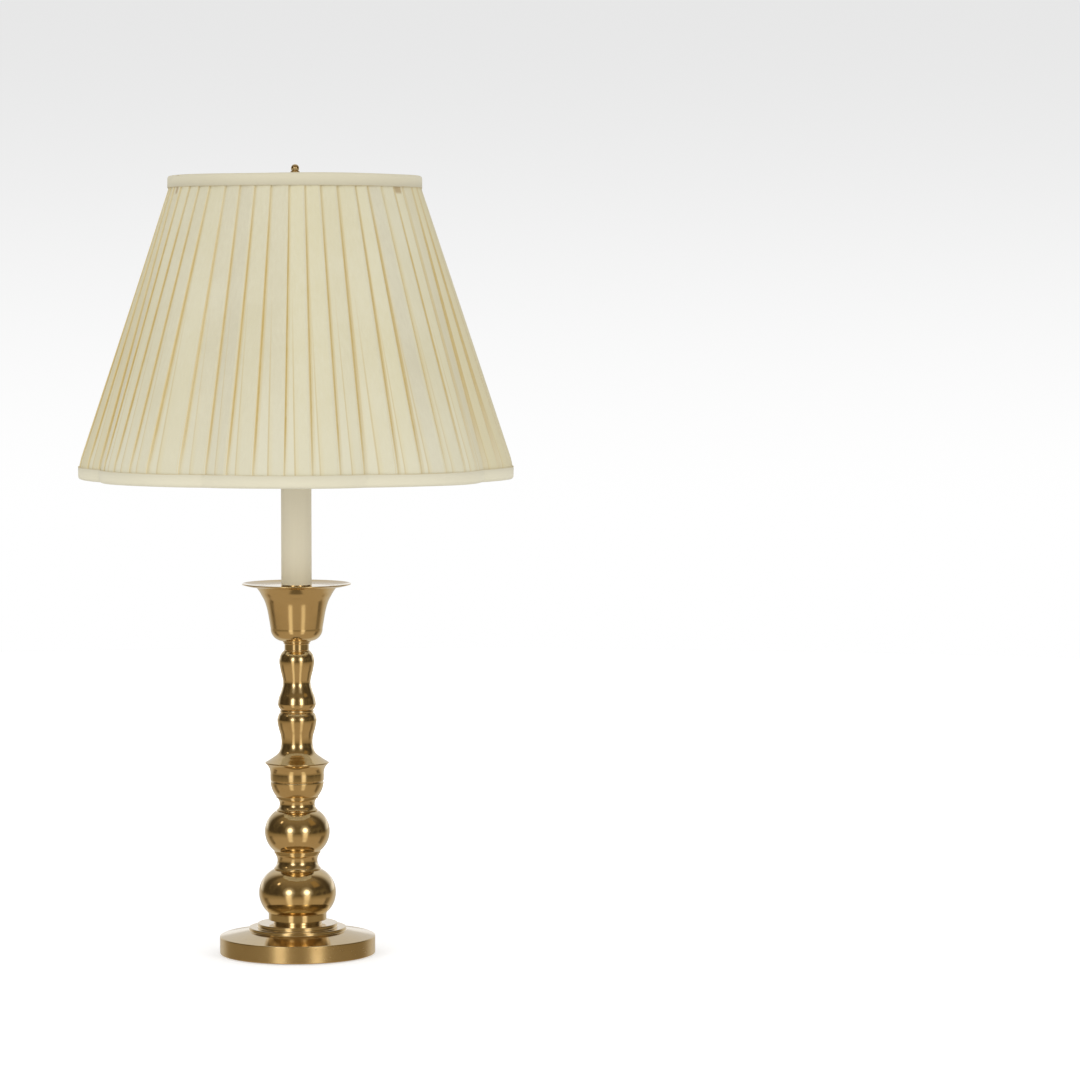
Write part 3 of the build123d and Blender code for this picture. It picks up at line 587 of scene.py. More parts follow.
def lowerColumnLine(s):
    top = tall("lower_column")
    foot, waist, swell = s["foot"], s["waist"], s["swell"]
    return outline((hole, 0), (foot, 0), (foot, 0.9),
                   [(0.58 * foot + 0.37 * waist, 5.2), (waist + 2.5, 9.6), (waist, 16.6),
                    (waist + 0.3, 24.2), (swell - 1.2, 31.6), (swell, 38.6), (swell - 0.7, 43.0),
                    (s["ring"] + 0.4, top)], (hole, top))


def ringLine(s):
    top = tall("column_ring")
    wide = s["ring"]
    return outline((hole, 0), (wide - 0.8, 0), ((wide, top / 2), (wide - 0.8, top)), (hole, top))


def upperColumnLine(s):
    top = tall("upper_column")
    shoulder, waist, swell = s["shoulder"], s["waist"], s["swell"]
    return outline((hole, 0), (s["ring"], 0), ((shoulder - 0.6, 2.1), (shoulder, 5.0)),
                   [(shoulder - 0.9, 10.8), (waist + 1.8, 16.2), (waist, 23.6),
                    (waist + 0.9, 29.8), (swell - 1.0, 36.0), (swell, 43.0), (swell - 0.9, 48.6),
                    (s["collar"] + 1.6, top)], (hole, top))


def collarLine(s):
    top = tall("neck_collar")
    radius, ring, band = s["collar"], s["ring"], s["band"]
    low = top - band
    return outline((hole, 0), (radius + 0.9, 0), (radius + 0.9, 0.8), (radius, 1.4), (radius, low - band),
                   (ring - 0.7, low - band + 0.3), (ring - 0.7, low - 0.3), (ring - 1.2, low),
                   (ring, low + 0.3), (ring, top), (hole, top))


stemPieces = {
    "foot_drum": (drumLine, {"neck": 21.9, "neckHeight": 3.1, "drum": 26.0}),
    "lower_bulb": (bulbLine, {"foot": 26.4, "footHeight": 0.6, "widest": 34.6, "top": 21.8}),
    "lower_spool": (spoolLine, {"foot": 21.0, "flange": 1.4, "waist": 18.0, "top": 19.6}),
    "upper_bulb": (bulbLine, {"foot": 20.7, "footHeight": 2.0, "widest": 29.2, "top": 19.7}),
    "upper_spool": (spoolLine, {"foot": 18.4, "flange": 1.2, "waist": 15.8, "top": 17.2}),
    "urn_cup": (urnLine, {"foot": 18.9, "body": 24.2, "rim": 28.6, "groove": 15.2, "depth": 0.9}),
    "lower_column": (lowerColumnLine, {"foot": 28.8, "waist": 14.2, "swell": 17.7, "ring": 15.2}),
    "column_ring": (ringLine, {"ring": 15.2}),
    "upper_column": (upperColumnLine, {"shoulder": 17.1, "waist": 12.4, "swell": 15.8, "ring": 15.2,
                                       "collar": 10.9}),
    "neck_collar": (collarLine, {"collar": 10.9, "ring": 12.6, "band": 1.5}),
}

for node, (line, sizes) in stemPieces.items():
    piece = turned(pieceName(node), node, line(dict(sizes, node=node)), ease=0.22)
    settle(piece, "stand", "polished_brass", polished, node)
print("stem made")


# candle cup, pan and sleeve

cupSizes = {"foot": 14.9, "belly": 22.7, "mouth": 35.2, "wall": 1.8, "floor": 3.0}
panSizes = {"flat": 34.0, "rise": 2.4, "thickness": 1.1}
seatSizes = {"floor": 0.8, "fit": 0.15, "rim": 0.15, "low": 1.3}
sleeveSizes = {"wall": 1.2}


def makeCup(s):
    top = tall("candle_cup")
    belly, mouth, wall = s["belly"], s["mouth"], s["wall"]
    points = outline(
        (hole, 0), (s["foot"], 0), ((belly - 1.9, 3.7), (belly + 0.6, 11.0)),
        [(belly + 1.6, 17.0), (belly + 3.5, 27.4), (belly + 5.9, 35.5), (belly + 8.7, 40.9),
         (belly + 10.3, 43.8), (mouth - 0.4, 46.4), (mouth + 0.9, top)], (mouth - 1.1 * wall, top),
        ((belly + 4.3 - wall, top * 0.64), (belly + 0.6 - wall, 11.4)),
        ((belly - 3.9, 5.4), (s["foot"] - wall, s["floor"])), (hole, s["floor"]),
    )
    cup = turned("candleCup", "candle_cup", points, ease=0.2)
    settle(cup, "stand", "polished_brass", spun, "candle_cup")


def makePan(s):
    wide = reach("drip_pan")
    flat, rise, thick = s["flat"], s["rise"], s["thickness"]
    middle, middleRise = 0.5 * (flat + wide), 0.31 * rise
    points = outline(
        (hole, 0), (flat, 0), ((middle + 0.5, middleRise), (wide - 0.4, rise)),
        ((wide, rise + 0.55 * thick), (wide - 0.5, rise + thick)),
        ((middle, middleRise + thick), (flat, thick)), (hole, thick),
    )
    pan = turned("dripPan", "drip_pan", points, ease=0.15, steps=192)
    settle(pan, "stand", "polished_brass", spun, "drip_pan")


def makeSeat(s):
    inner = reach("candle_sleeve") + s["fit"]
    wide, top = inner + s["rim"], tall("candle_seat") - s["low"]
    floor = s["floor"]
    points = outline((hole, 0), (wide, 0), (wide, top), (inner, top), (inner, floor), (hole, floor))
    piece = turned("candleSeat", "candle_seat", points, ease=0.35, steps=96)
    settle(piece, "stand", "polished_brass", polished, "candle_seat")


def makeSleeve(s):
    wide, top = reach("candle_sleeve"), tall("candle_sleeve")
    inner = wide - s["wall"]
    points = outline((inner, 0), (wide, 0), (wide, top), (inner, top))
    piece = turned("candleSleeve", "candle_sleeve", points, ease=0.3, steps=96)
    settle(piece, "stand", "ivory_sleeve", ivoryFinish, "candle_sleeve")


makeCup(cupSizes)
makePan(panSizes)
makeSeat(seatSizes)
makeSleeve(sleeveSizes)
print("cup, pan and sleeve made")


# finial

finialSizes = {"foot": 7.2, "footHeight": 1.3, "ball": 3.7, "bead": 4.2, "neck": 3.1, "pinHole": 3.15,
               "pinDepth": 6.05}


def makeFinial(s):
    top = tall("finial")
    ball = s["ball"]
    centre = top - ball
    bead = centre - ball + 0.5
    start, rise = math.radians(-38), math.radians(20)
    points = outline(
        (s["pinHole"], 0), (s["foot"], 0), (s["foot"], s["footHeight"]),
        (s["foot"] - 1.0, s["footHeight"] + 0.8),
        ((4.7, 5.2), (s["neck"], bead - 1.6)), (s["neck"], bead - 0.8),
        ((s["bead"], bead), (s["neck"], bead + 0.8)),
        (ball * math.cos(start), centre + ball * math.sin(start)),
        ((ball * math.cos(rise), centre + ball * math.sin(rise)), (0, top)),
        (0, s["pinDepth"]), (s["pinHole"], s["pinDepth"]),
    )
    knob = turned("finialKnob", "finial", points, ease=0.12, steps=96)
    settle(knob, "finial", "polished_brass", polished, "finial")


makeFinial(finialSizes)


# harp, lampholder and bulb

smoothPieces = {
    "harp_wire": ("stand", "harp_brass", plainBrass),
    "harp_saddle": ("stand", "harp_brass", plainBrass),
    "harp_stud": ("stand", "harp_brass", plainBrass),
    "left_ferrule": ("left_ferrule", "harp_brass", plainBrass),
    "right_ferrule": ("right_ferrule", "harp_brass", plainBrass),
    "socket_cap": ("stand", "holder_brass", holderBrass),
    "socket_shell": ("stand", "holder_brass", holderBrass),
    "sleeve_cap": ("stand", "polished_brass", polished),
    "switch_knob": ("switch", "black_plastic", blackFinish),
    "cord_bushing": ("stand", "black_plastic", blackFinish),
    "bulb_glass": ("bulb", "frosted_glass", glassFinish),
    "bulb_cap": ("bulb", "bulb_metal", bulbFinish),
    "top_ring": ("shade", "frame_wire", frameBrass),
    "bottom_ring": ("shade", "frame_wire", frameBrass),
    "shade_ribs": ("shade", "frame_wire", frameBrass),
    "spider_arms": ("shade", "frame_brass", frameBrass),
    "shade_hub": ("shade", "frame_brass", frameBrass),
}

for node, (body, slotName, material) in smoothPieces.items():
    settle(smoothCopy(pieceName(node), node), body, slotName, material, node)

dress(steelFinish, "rod_washer", "rod_nut", "cup_nut", "switch_spindle", "terminal_screws")
dress(threadFinish, "threaded_rod")
dress(ironFinish, "base_weight")
dress(fibreFinish, "socket_liner")
dress(blackFinish, "switch_block")
dress(holderBrass, "screw_shell", "centre_contact")
dress(bulbFinish, "bulb_tip")
print("harp, lampholder and bulb made")


# shade

shadeSizes = {
    "topRadius": 113.0,
    "bottomRadius": 194.3,
    "lobes": 8,
    "cuspRatio": 0.94,
    "knee": 3.5,
    "trimHeight": 11.5,
    "tape": 0.8,
    "roll": 2.6,
    "gap": 0.2,
    "innerTrim": 6.3,
    "liningInset": 5.6,
    "lining": 0.5,
    "cloth": 0.7,
}
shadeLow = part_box("bottom_trim")[0][2] / mm
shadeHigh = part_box("top_trim")[1][2] / mm
kneeLine = shadeLow + shadeSizes["trimHeight"] + shadeSizes["knee"]
collarLevel = shadeHigh - shadeSizes["trimHeight"]


def lobeRadius(angle, radius, cusp, inset=0.0):  # distance from the axis to the lobed outline
    half = math.pi / shadeSizes["lobes"]
    chord = cusp * radius * math.sin(half)
    bulge = radius - cusp * radius * math.cos(half)
    arc = (chord ** 2 + bulge ** 2) / (2 * bulge)
    centre = radius - arc
    local = (angle + half) % (2 * half) - half
    return centre * math.cos(local) + math.sqrt((arc - inset) ** 2 - (centre * math.sin(local)) ** 2)


def shadeRadius(angle, level, inset=0.0):  # the lobed skirt, the cone and the round collar
    share = min(1.0, max(0.0, (level - kneeLine) / (collarLevel - kneeLine)))
    low = lobeRadius(angle, shadeSizes["bottomRadius"], shadeSizes["cuspRatio"], inset)
    high = lobeRadius(angle, shadeSizes["topRadius"], 1.0, inset)
    return low + (high - low) * share


class Maker(Bench):  # a Geometry Nodes tree with named sizes
    def __init__(self, name, sizes):
        self.group = bpy.data.node_groups.new(name, "GeometryNodeTree")
        super().__init__(self.group)
        self.sizes = sizes
        self.keys = {}
        for label, value in sizes.items():
            kind = "NodeSocketInt" if isinstance(value, int) else "NodeSocketFloat"
            socket = self.group.interface.new_socket(name=label, in_out="INPUT", socket_type=kind)
            self.keys[label] = socket.identifier
        self.group.interface.new_socket(name="Mesh", in_out="OUTPUT", socket_type="NodeSocketGeometry")
        self.entry = self.tree.nodes.new("NodeGroupInput")
        self.exit = self.tree.nodes.new("NodeGroupOutput")

    def size(self, label):
        return Wire(self, self.entry.outputs[label])

    def random(self, low, high, place, seed):
        settings = {"data_type": "FLOAT"}
        inputs = {2: low, 3: high, "ID": place, "Seed": seed}
        return self.node("FunctionNodeRandomValue", settings, inputs, output=1)

    def build(self, name, geometry, material):  # the tree's result as a plain mesh
        geometry = self.node("GeometryNodeRealizeInstances", None, {0: geometry})
        painted = self.node("GeometryNodeSetMaterial", None, {0: geometry, "Material": material})
        self.feed(self.exit.inputs[0], painted)
        holder = bpy.data.objects.new(name, bpy.data.meshes.new(name))
        bpy.context.scene.collection.objects.link(holder)
        modifier = holder.modifiers.new("maker", "NODES")
        modifier.node_group = self.group
        for label, value in self.sizes.items():
            modifier[self.keys[label]] = value
        worked = holder.evaluated_get(bpy.context.evaluated_depsgraph_get())
        made = bpy.data.meshes.new_from_object(worked)
        holder.modifiers.remove(modifier)
        holder.data = made
        made.name = name
        return holder


pleatSizes = {
    "pleats": 48,
    "columns": 14,
    "rows": 46,
    "crowding": 1.9,
    "drift": 0.11,
    "depth": 0.0013,
    "edge": 0.035,
    "crease": 0.45,
    "creaseTop": 0.16,
    "creaseBottom": 0.40,
    "low": (shadeLow + 1.2) * mm,
    "high": (shadeHigh - 1.0) * mm,
    "kneeLevel": kneeLine * mm,
    "collarLevel": collarLevel * mm,
    "topRadius": shadeSizes["topRadius"] * mm,
    "bottomRadius": shadeSizes["bottomRadius"] * mm,
    "cusp": shadeSizes["cuspRatio"],
    "seed": 7,
}


def pleatedCloth(finish):
    g = Maker("pleatedCloth", pleatSizes)
    pleats, columns, seed = g.size("pleats"), g.size("columns"), g.size("seed")
    steps = pleats * columns
    grid = g.tree.nodes.new("GeometryNodeMeshGrid")
    for label, value in {0: 1.0, 1: 1.0, 2: steps + 1, 3: g.size("rows")}.items():
        g.feed(grid.inputs[label], value)
    u, v, flat = g.split(g.node("GeometryNodeInputPosition"))
    column = g.maths("ROUND", (u + 0.5) * steps)
    climb = v + 0.5
    pleat = g.maths("FLOOR", (column + 0.5) / columns)
    pleat = g.maths("MINIMUM", pleat, pleats - 1)
    share = ((column - pleat * columns) / columns) ** g.size("crowding")
    after = g.maths("MODULO", pleat + 1, pleats)
    drift = g.size("drift")
    here = g.random(-1.0, 1.0, pleat, seed) * drift
    there = g.random(-1.0, 1.0, after, seed) * drift
    lean = g.random(-1.0, 1.0, pleat, seed + 1) * drift * 0.6
    leanAfter = g.random(-1.0, 1.0, after, seed + 1) * drift * 0.6
    here = here + lean * (1 - climb)
    there = there + leanAfter * (1 - climb)
    turn = (pleat + here + share * (1 + there - here)) * (2 * math.pi / pleats)
    low, high = g.size("low"), g.size("high")
    level = low + climb * (high - low)
    wobble = g.random(-0.09, 0.12, pleat, seed + 2)
    crease = g.size("creaseBottom") + (g.size("creaseTop") - g.size("creaseBottom")) * climb + wobble
    crease = g.maths("MAXIMUM", crease, 0.1)
    edge = g.size("edge")
    second = g.maths("MINIMUM", g.maths("MAXIMUM", (crease - share) / (crease - edge), 0.0), 1.0)
    rest = g.maths("MINIMUM", g.maths("MAXIMUM", (1 - share) / (1 - crease), 0.0), 1.0)
    fold = g.smooth(share, 0.0, edge) * (g.size("crease") * rest + (1 - g.size("crease")) * second)
    slack = g.maths("SINE", turn * 5 + climb * 4) * 0.12 + g.maths("SINE", turn * 11 - climb * 3) * 0.08
    tuck = g.smooth(climb, 0.0, 0.10) * 0.35 + 0.65
    inset = g.size("depth") * fold * tuck + 0.0002 + slack * 0.0012
    half = math.pi / shadeSizes["lobes"]
    local = g.maths("WRAP", turn, half, -half)
    reachOf = {}
    for label, cusp in (("bottomRadius", g.size("cusp")), ("topRadius", 1.0)):
        radius = g.size(label)
        chord = cusp * radius * math.sin(half)
        bulge = radius - cusp * radius * math.cos(half)
        arc = (chord * chord + bulge * bulge) / (2 * bulge)
        centre = radius - arc
        sideways = centre * g.maths("SINE", local)
        within = (arc - inset) * (arc - inset) - sideways * sideways
        reachOf[label] = centre * g.maths("COSINE", local) + g.maths("SQRT", within)
    cone = (level - g.size("kneeLevel")) / (g.size("collarLevel") - g.size("kneeLevel"))
    cone = g.maths("MINIMUM", g.maths("MAXIMUM", cone, 0.0), 1.0)
    radius = reachOf["bottomRadius"] + (reachOf["topRadius"] - reachOf["bottomRadius"]) * cone
    spot = g.join(radius * g.maths("SINE", turn), 0 - radius * g.maths("COSINE", turn), level)
    mesh = Wire(g, grid.outputs["Mesh"])
    fields = {"foldPlace": share, "foldHeight": climb, "pleatNumber": pleat, "creasePlace": crease}
    for label, value in fields.items():  # read again by the cloth's finish
        settings = {"data_type": "FLOAT", "domain": "CORNER" if label == "foldPlace" else "POINT"}
        inputs = {0: mesh, "Name": label, "Value": value}
        mesh = g.node("GeometryNodeStoreNamedAttribute", settings, inputs)
    mesh = g.node("GeometryNodeSetPosition", None, {0: mesh, "Position": spot})
    mesh = g.node("GeometryNodeSetShadeSmooth", None, {0: mesh, "Shade Smooth": True})
    mesh = g.node("GeometryNodeMergeByDistance", None, {0: mesh, "Distance": 0.00001})
    return g.build("pleatedCover", mesh, finish)


def pleatFinish():
    finish = Finish("pleated cloth", {"Sheen Weight": 0.12, "Sheen Roughness": 0.4})
    smooth, near = finish.smooth, finish.near

    def stored(name):
        return finish.node("ShaderNodeAttribute", {"attribute_name": name}, None, output=2)

    def drawn(shift):  # one random value for each pleat
        return finish.node("ShaderNodeTexWhiteNoise", {"noise_dimensions": "1D"}, {"W": pleat + shift})

    share, climb, pleat = stored("foldPlace"), stored("foldHeight"), stored("pleatNumber")
    crease = stored("creasePlace")
    tint, strength = drawn(0.31), drawn(7.77)
    place = finish.place()
    x, y, z = finish.split(place)
    turn = finish.maths("ARCTAN2", x, 0 - y)  # 0 at the front, in radians
    streak = finish.noise(finish.stretch(place, (420, 420, 9)), 1.0, 4.0, 0.62)
    cloud = finish.noise(place, 9.0, 3.0, 0.6)
    waver = finish.noise(finish.join(pleat, climb * 9.0, 0.0), 1.0, 3.0, 0.7)
    low = smooth(1 - climb, 0.55, 1.0)
    body = smooth(climb, 0.0, 0.22) * (1 - 0.9 * smooth(climb, 0.70, 0.95))
    # painted shade: the flanks turned away from the front light are painted darker and yellower
    flank = smooth(finish.maths("ABSOLUTE", turn), 0.85, 1.45)
    # painted shade: on the right-hand side the open inner folds show as wide golden bands, and the painted
    # glow beside each fold widens there
    openFoldShade = smooth(turn, 0.05, 0.9) * (1 - smooth(turn, 1.9, 2.6))
    calm = 1 - 0.75 * smooth(0 - turn, 0.95, 1.25) * smooth(climb, 0.35, 0.65)
    glow = smooth(share, 0.0, 0.03) * (1 - smooth(share, 0.06, 0.20 + openFoldShade * 0.16))
    bandWidth = 0.06 + 0.08 * smooth(turn, 0.75, 1.25)
    band = near(share, bandWidth + 0.015, bandWidth, 0.04) * (0.25 + 0.75 * openFoldShade)
    band = band * smooth(strength, 0.1, 0.45) * (0.45 + 0.5 * body) * (0.5 + 0.7 * streak)
    inner = smooth(share, 0.03, 0.06) * (1 - smooth(share, crease - 0.04, crease))
    second = near(share, crease, 0.010, 0.030) * smooth(1 - climb, 0.30, 0.75)
    behind = smooth(share, crease, crease + 0.02) * (1 - smooth(share, crease + 0.05, crease + 0.2))
    # painted shade along each fold edge, over the denser colour of the doubled cloth there
    line = near(share, 0.018, 0.012 + waver * 0.045, 0.045) * (0.50 + 0.5 * strength)
    line = line * (0.18 + 0.82 * body) * (0.45 + 1.0 * waver) * calm
    layers = [  # each tone goes over those above it
        (smooth(tint, 0.15, 0.9) * 0.9, "grey"),
        (smooth(cloud + streak * 0.5, 0.55, 1.0) * 0.5, "pale"),
        (low * 0.45, "pale"),
        (flank * 0.6, "flank"),
        (glow * (0.25 + 0.25 * body), "glow"),
        (band, "fold"),
        (inner * low * (0.15 + 0.5 * strength), "pale"),
        (second * (0.35 + 0.45 * strength), "shade"),
        (behind * low * 0.3, "glow"),
        (line, "fold"),
        # painted light: lighter gold in the crease itself, standing in for light where the fold's own shade
        # falls
        (near(share, 0.0, 0.003, 0.014) * 0.85, "crease"),
    ]
    for where, wide in clothLook["waterMarks"]:  # under the top trim
        mark = near(turn, where, wide, 0.02) * smooth(climb, *clothLook["waterHeight"])
        layers.append((mark * 0.65, "stain"))
    tone = clothLook["cream"]
    for amount, label in layers:
        tone = finish.mix(amount, tone, clothLook[label])
    threads = weave(finish, finish.join(turn * 0.15, z, 0.0), clothLook["threadPitch"])
    return finish.surface(tone, 0.74 + streak * 0.16, threads * 0.1 + streak, 0.00020)


def sheetArea(piece):
    return sum(face.area for face in piece.data.polygons)


coverFinish = pleatFinish()
cover = pleatedCloth(coverFinish)
settle(cover, "shade", "pleated_cloth", coverFinish, "shade_cover")
clothWall = cover.modifiers.new("cloth", "SOLIDIFY")
clothWall.thickness = shadeSizes["cloth"] * mm
clothWall.offset = -1
print("cover made:", len(cover.data.polygons), "faces, area", round(sheetArea(cover), 4))


def tapeLine(outer, inner, low, high):  # section of the folded tape, as insets and heights
    tape, soft = shadeSizes["tape"], shadeSizes["roll"]
    return outline(
        (outer + tape, low), (outer, low), (outer + 0.15, high - soft * 1.2),
        ((outer + 0.35 * soft, high - 0.32 * soft), (outer + soft, high)),
        (inner - soft * 0.8, high), ((inner - 0.25 * soft, high - 0.25 * soft), (inner, high - soft * 0.8)),
        (inner, low), (inner - tape, low), (inner - tape, high - soft * 0.8 - tape * 0.6),
        ((inner - tape - 0.2 * soft, high - tape - 0.2 * soft), (inner - soft * 0.8 - tape, high - tape)),
        (outer + soft + tape, high - tape),
        ((outer + 0.4 * soft + tape, high - 0.4 * soft - tape), (outer + tape, high - soft * 1.2)),
    )


def makeTopTrim():
    low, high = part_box("top_trim")
    wide = high[0] / mm
    inner = wide - shadeSizes["topRadius"] + shadeSizes["innerTrim"] + shadeSizes["tape"]
    points = tapeLine(0.0, inner, low[2] / mm, high[2] / mm)

    def place(angle, point):
        wave = 0.12 * math.sin(3 * angle + 1) + 0.08 * math.sin(7 * angle) - 0.2
        drop = 0.25 * math.sin(2 * angle + 0.6) + 0.18 * math.sin(5 * angle) - 0.43
        share = (point[1] - low[2] / mm) / shadeSizes["trimHeight"]
        return around(angle, (wide - point[0] + wave, point[1] + drop * share))
    piece = sweepRound("topTrim", points, place, 192, ease=0)
    return settle(piece, "shade", "trim_tape", topTape, "top_trim")


def makeBottomTrim():
    low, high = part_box("bottom_trim")
    outer = -shadeSizes["tape"] - shadeSizes["gap"]
    inner = shadeSizes["innerTrim"] + shadeSizes["tape"]
    flipped = tapeLine(outer, inner, 0.0, (high[2] - low[2]) / mm)
    points = [(inset, high[2] / mm - rise) for inset, rise in flipped]

    def place(angle, point):
        radius = shadeRadius(angle, shadeLow, point[0])
        sag = 0.15 * math.sin(9 * angle + 2)
        share = (high[2] / mm - point[1]) / shadeSizes["trimHeight"]
        return around(angle, (radius - 0.1 + 0.1 * math.sin(5 * angle), point[1] + (sag + 0.15) * share))
    piece = sweepRound("bottomTrim", points, place, 384, ease=0)
    return settle(piece, "shade", "trim_tape", bottomTape, "bottom_trim")


def makeLining():
    low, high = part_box("shade_lining")
    inset = shadeSizes["liningInset"]
    rows = 40
    levels = [low[2] / mm + (high[2] - low[2]) / mm * i / rows for i in range(rows + 1)]
    points = [(shadeSizes["bottomRadius"], level) for level in levels]

    def place(angle, point):
        return around(angle, (shadeRadius(angle, point[1], inset), point[1]))
    piece = sweepRound("shadeLining", points, place, 384, closed=False, ease=0, weld=False)
    wall = piece.modifiers.new("cloth", "SOLIDIFY")
    wall.thickness = shadeSizes["lining"] * mm
    wall.offset = -1
    return settle(piece, "shade", "lining_cloth", liningFinish, "shade_lining")


topTrim = makeTopTrim()
bottomTrim = makeBottomTrim()
lining = makeLining()
print("trims and lining made")


flatSizes = {  # metres: each sheet's length as a radius, and widths
    "cover": 0.200,
    "lining": 0.190,
    "topTrim": 0.114,
    "bottomTrim": 0.190,
    "turnings": 0.033,
    "tapeWidth": 0.031,
}


slant = math.hypot(shadeSizes["bottomRadius"] - shadeSizes["topRadius"], collarLevel - kneeLine) * mm
slant = slant + flatSizes["turnings"]


# room, lights and camera

cameraSizes = {"across": 0.2189, "distance": 3.78, "height": 0.600, "lens": 140.5, "tilt": 3.428}


def makeCamera(s):
    data = bpy.data.cameras.new("photoCamera")
    data.lens = s["lens"]
    data.sensor_width = 36.0
    data.clip_end = 60.0
    camera = bpy.data.objects.new("photoCamera", data)
    camera.location = (s["across"], -s["distance"], s["height"])
    camera.rotation_euler = (math.radians(90 - s["tilt"]), 0, 0)
    bpy.context.scene.collection.objects.link(camera)
    bpy.context.scene.camera = camera


softboxLook = {
    "places": {"leftSoftbox": (-1.35, -1.75, 0.95), "rightSoftbox": (1.65, -1.6, 0.95)},
    "aim": (0, 0, 0.45),
    "size": (0.7, 1.1),
    "power": 7.0,
    "colour": (1.0, 0.985, 0.96),
}


def makeSoftboxes(s):
    for name, place in s["places"].items():
        data = bpy.data.lights.new(name, "AREA")
        data.shape = "RECTANGLE"
        data.size, data.size_y = s["size"]
        data.energy = s["power"]
        data.color = s["colour"]
        light = bpy.data.objects.new(name, data)
        light.location = place
        light.rotation_euler = (Vector(s["aim"]) - Vector(place)).to_track_quat("-Z", "Y").to_euler()
        light.visible_glossy = False
        light.visible_transmission = False
        bpy.context.scene.collection.objects.link(light)


floorLook = {
    "radius": 3.2,
    "drop": 0.0003,
    "colour": (0.86, 0.86, 0.86),
    "lift": 0.42,
    "farLift": 0.5,
    "far": (0.35, 1.6),
}


def makeFloor(s):
    mesh = bmesh.new()
    bmesh.ops.create_circle(mesh, cap_ends=True, cap_tris=False, segments=96, radius=s["radius"])
    for face in mesh.faces:
        if face.normal.z < 0:
            face.normal_flip()
    for vert in mesh.verts:
        vert.co.z = -s["drop"]
    floor = finishMesh("paleFloor", mesh)
    paper = Finish("pale paper", {"Base Color": s["colour"], "Roughness": 0.9, "Specular IOR Level": 0.1})
    x, y, z = paper.split(paper.place())
    far = paper.smooth(paper.maths("SQRT", x * x + y * y), *s["far"])
    camera = paper.node("ShaderNodeLightPath")
    inputs = {"Color": (1, 1, 1, 1), "Strength": camera * (s["lift"] + far * s["farLift"])}
    lift = paper.node("ShaderNodeEmission", None, inputs)
    lifted = paper.node("ShaderNodeAddShader", None, {0: Wire(paper, paper.shader.outputs[0]), 1: lift})
    under = paper.node("ShaderNodeNewGeometry", None, None, output=6)  # seen through from below
    clear = paper.node("ShaderNodeBsdfTransparent")
    shown = paper.node("ShaderNodeMixShader", None, {0: under, 1: lifted, 2: clear})
    paper.feed(paper.tree.nodes["Material Output"].inputs["Surface"], shown)
    floor.data.materials.append(paper.material)
    floor.visible_glossy = False


roomLook = {  # angles in degrees: turn from the front, climb from the horizon
    "ambient": (0.77, 0.77, 0.77),
    "paleTop": (0.80, 0.80, 0.80),
    "pale": (0.93, 0.92, 0.90),
    "lowPale": (0.56, 0.50, 0.40),
    "highPale": (0.60, 0.575, 0.535),
    "floor": (0.405, 0.307, 0.183),
    "nearFloor": (0.250, 0.188, 0.100),
    "under": (0.105, 0.078, 0.042),
    "room": (0.128, 0.092, 0.045),
    "olive": (0.185, 0.145, 0.075),
    "shadow": (0.055, 0.041, 0.022),
    "ceiling": (0.255, 0.192, 0.108),
    "cardTurn": 111.0,
    "pole": (0.95, 0.79, 0.545),
    "lamp": (3.0, 2.8, 2.45),
    "lamps": ((-23.0, 0.88), (32.0, 0.74)),
    "lampClimb": 12.5,
    "patch": (0.32, 0.21, 0.08),
    "patchPlace": (72.0, 40.0),
    "smallLamp": (1.9, 1.5, 0.95),
    "smallPlace": (-71.0, 40.0),
}


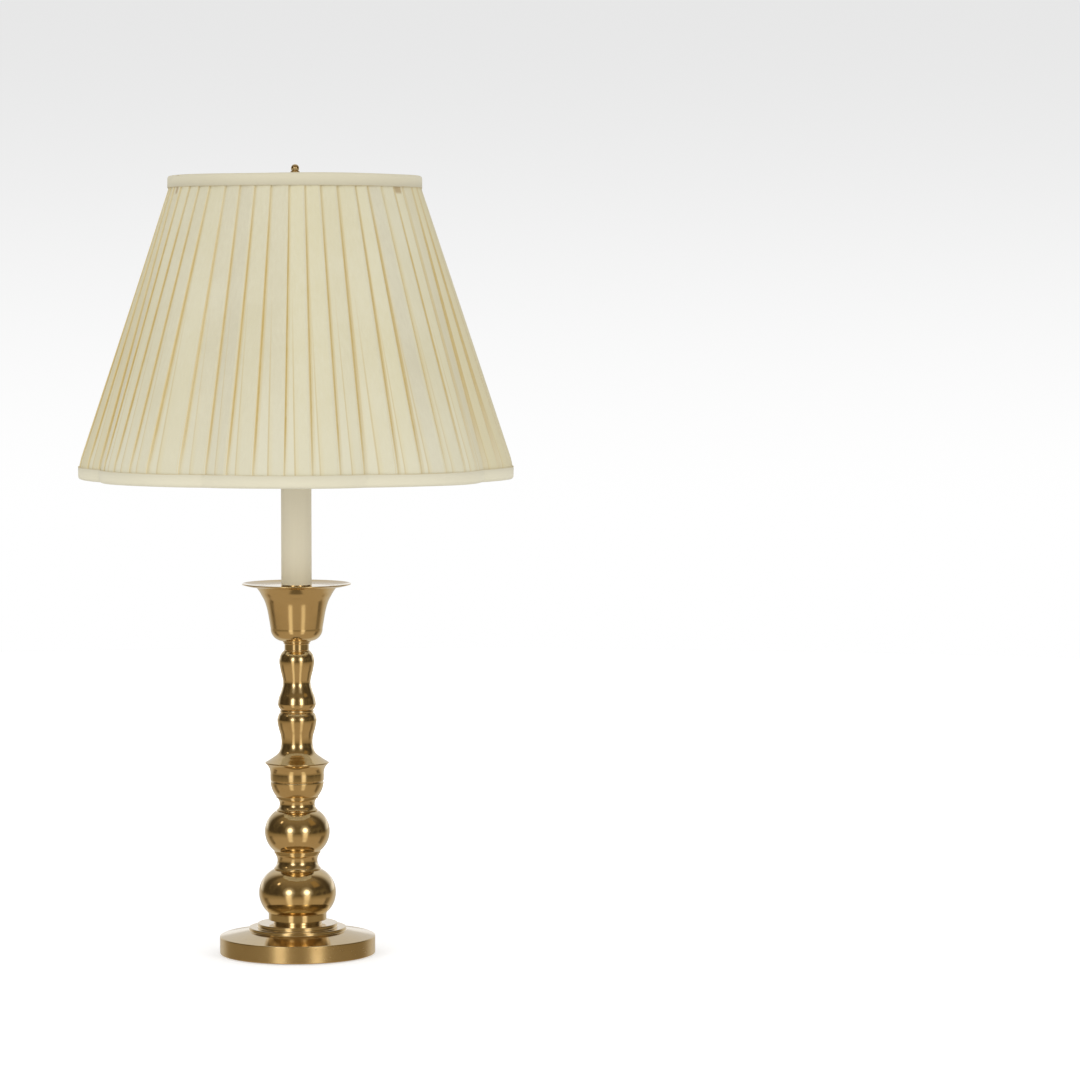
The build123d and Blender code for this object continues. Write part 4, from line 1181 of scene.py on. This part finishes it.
def makeRoom(s):  # what the brass mirrors; the camera sees a plain pale sky instead
    world = bpy.data.worlds.new("studio")
    world.use_nodes = True
    bpy.context.scene.world = world
    w = Bench(world.node_tree)
    w.tree.nodes.clear()
    smooth, near, mix = w.smooth, w.near, w.mix
    way = w.node("ShaderNodeTexCoord", None, None, output=0)
    x, y, z = w.split(way)
    turn = w.maths("ARCTAN2", x, 0 - y) * (180 / math.pi)
    climb = w.maths("ARCSINE", z) * (180 / math.pi)
    side = w.maths("ABSOLUTE", turn)
    blotch = smooth(w.noise(way, 3.2, 4.0, 0.6), 0.44, 0.66)

    def spot(place, half, soft):  # a soft square at a turn and a climb
        return near(turn, place[0], half[0], soft[0]) * near(climb, place[1], half[1], soft[1])

    upper = mix(smooth(side, 30.0, 66.0) * 0.9, s["room"], s["shadow"])
    upper = mix(blotch * 0.55, upper, s["olive"])
    upper = mix(smooth(climb, 16.0, 66.0), upper, s["ceiling"])
    lower = mix(smooth(climb, -24.0, -5.0), s["floor"], s["nearFloor"])
    under = near(side, 0.0, 30.0, 22.0) * (1 - smooth(climb, -72.0, -62.0))
    lower = mix(under * 0.85, lower, s["under"])
    front = mix(smooth(climb, -9.0, -0.5), lower, upper)
    front = mix(spot(s["patchPlace"], (9.0, 8.0), (7.0, 7.0)) * 0.8, front, s["patch"])
    cards = near(side, s["cardTurn"], 5.0, 11.0) * (near(climb, -25.0, 8.0, 6.0) + smooth(climb, -2.0, 8.0))
    front = mix(cards * (0.55 + 0.3 * blotch), front, s["shadow"])
    back = mix(smooth(climb, -3.0, 1.0), s["lowPale"], s["pale"])
    back = mix(smooth(climb, 7.0, 11.0), back, s["highPale"])
    room = mix(smooth(side, 116.0, 148.0), front, back)
    for lamp, share in s["lamps"]:  # a tall strip with a round lamp above it
        pole = spot((lamp, -20.0), (2.5, 17.0), (10.5, 7.0))
        pole = pole * (share + (1.18 - share) * near(climb, -9.0, 6.0, 8.0))
        room = mix(pole, room, s["pole"])
        across, up = (turn - lamp) / 9.5, (climb - s["lampClimb"]) / 11.5
        far = w.maths("SQRT", across * across + up * up)
        room = mix((1 - smooth(far, 0.5, 2.4)) * 0.16, room, s["lamp"])
        room = mix(1 - smooth(far, 0.35, 1.25), room, s["lamp"])
    room = mix(spot(s["smallPlace"], (1.5, 1.5), (4.5, 4.5)), room, s["smallLamp"])
    sky = mix(smooth(climb, -3.2, 4.2), (1.0, 1.0, 1.0), s["paleTop"])
    ray = w.tree.nodes.new("ShaderNodeLightPath")
    camera, glossy = Wire(w, ray.outputs["Is Camera Ray"]), Wire(w, ray.outputs["Is Glossy Ray"])
    shown = mix(camera, mix(glossy, s["ambient"], room), sky)
    dome = w.node("ShaderNodeBackground", None, {"Color": shown, "Strength": 1.0})
    w.feed(w.tree.nodes.new("ShaderNodeOutputWorld").inputs["Surface"], dome)


makeCamera(cameraSizes)
makeSoftboxes(softboxLook)
makeFloor(floorLook)
makeRoom(roomLook)
bpy.context.scene.view_settings.view_transform = "Standard"
print("room made")
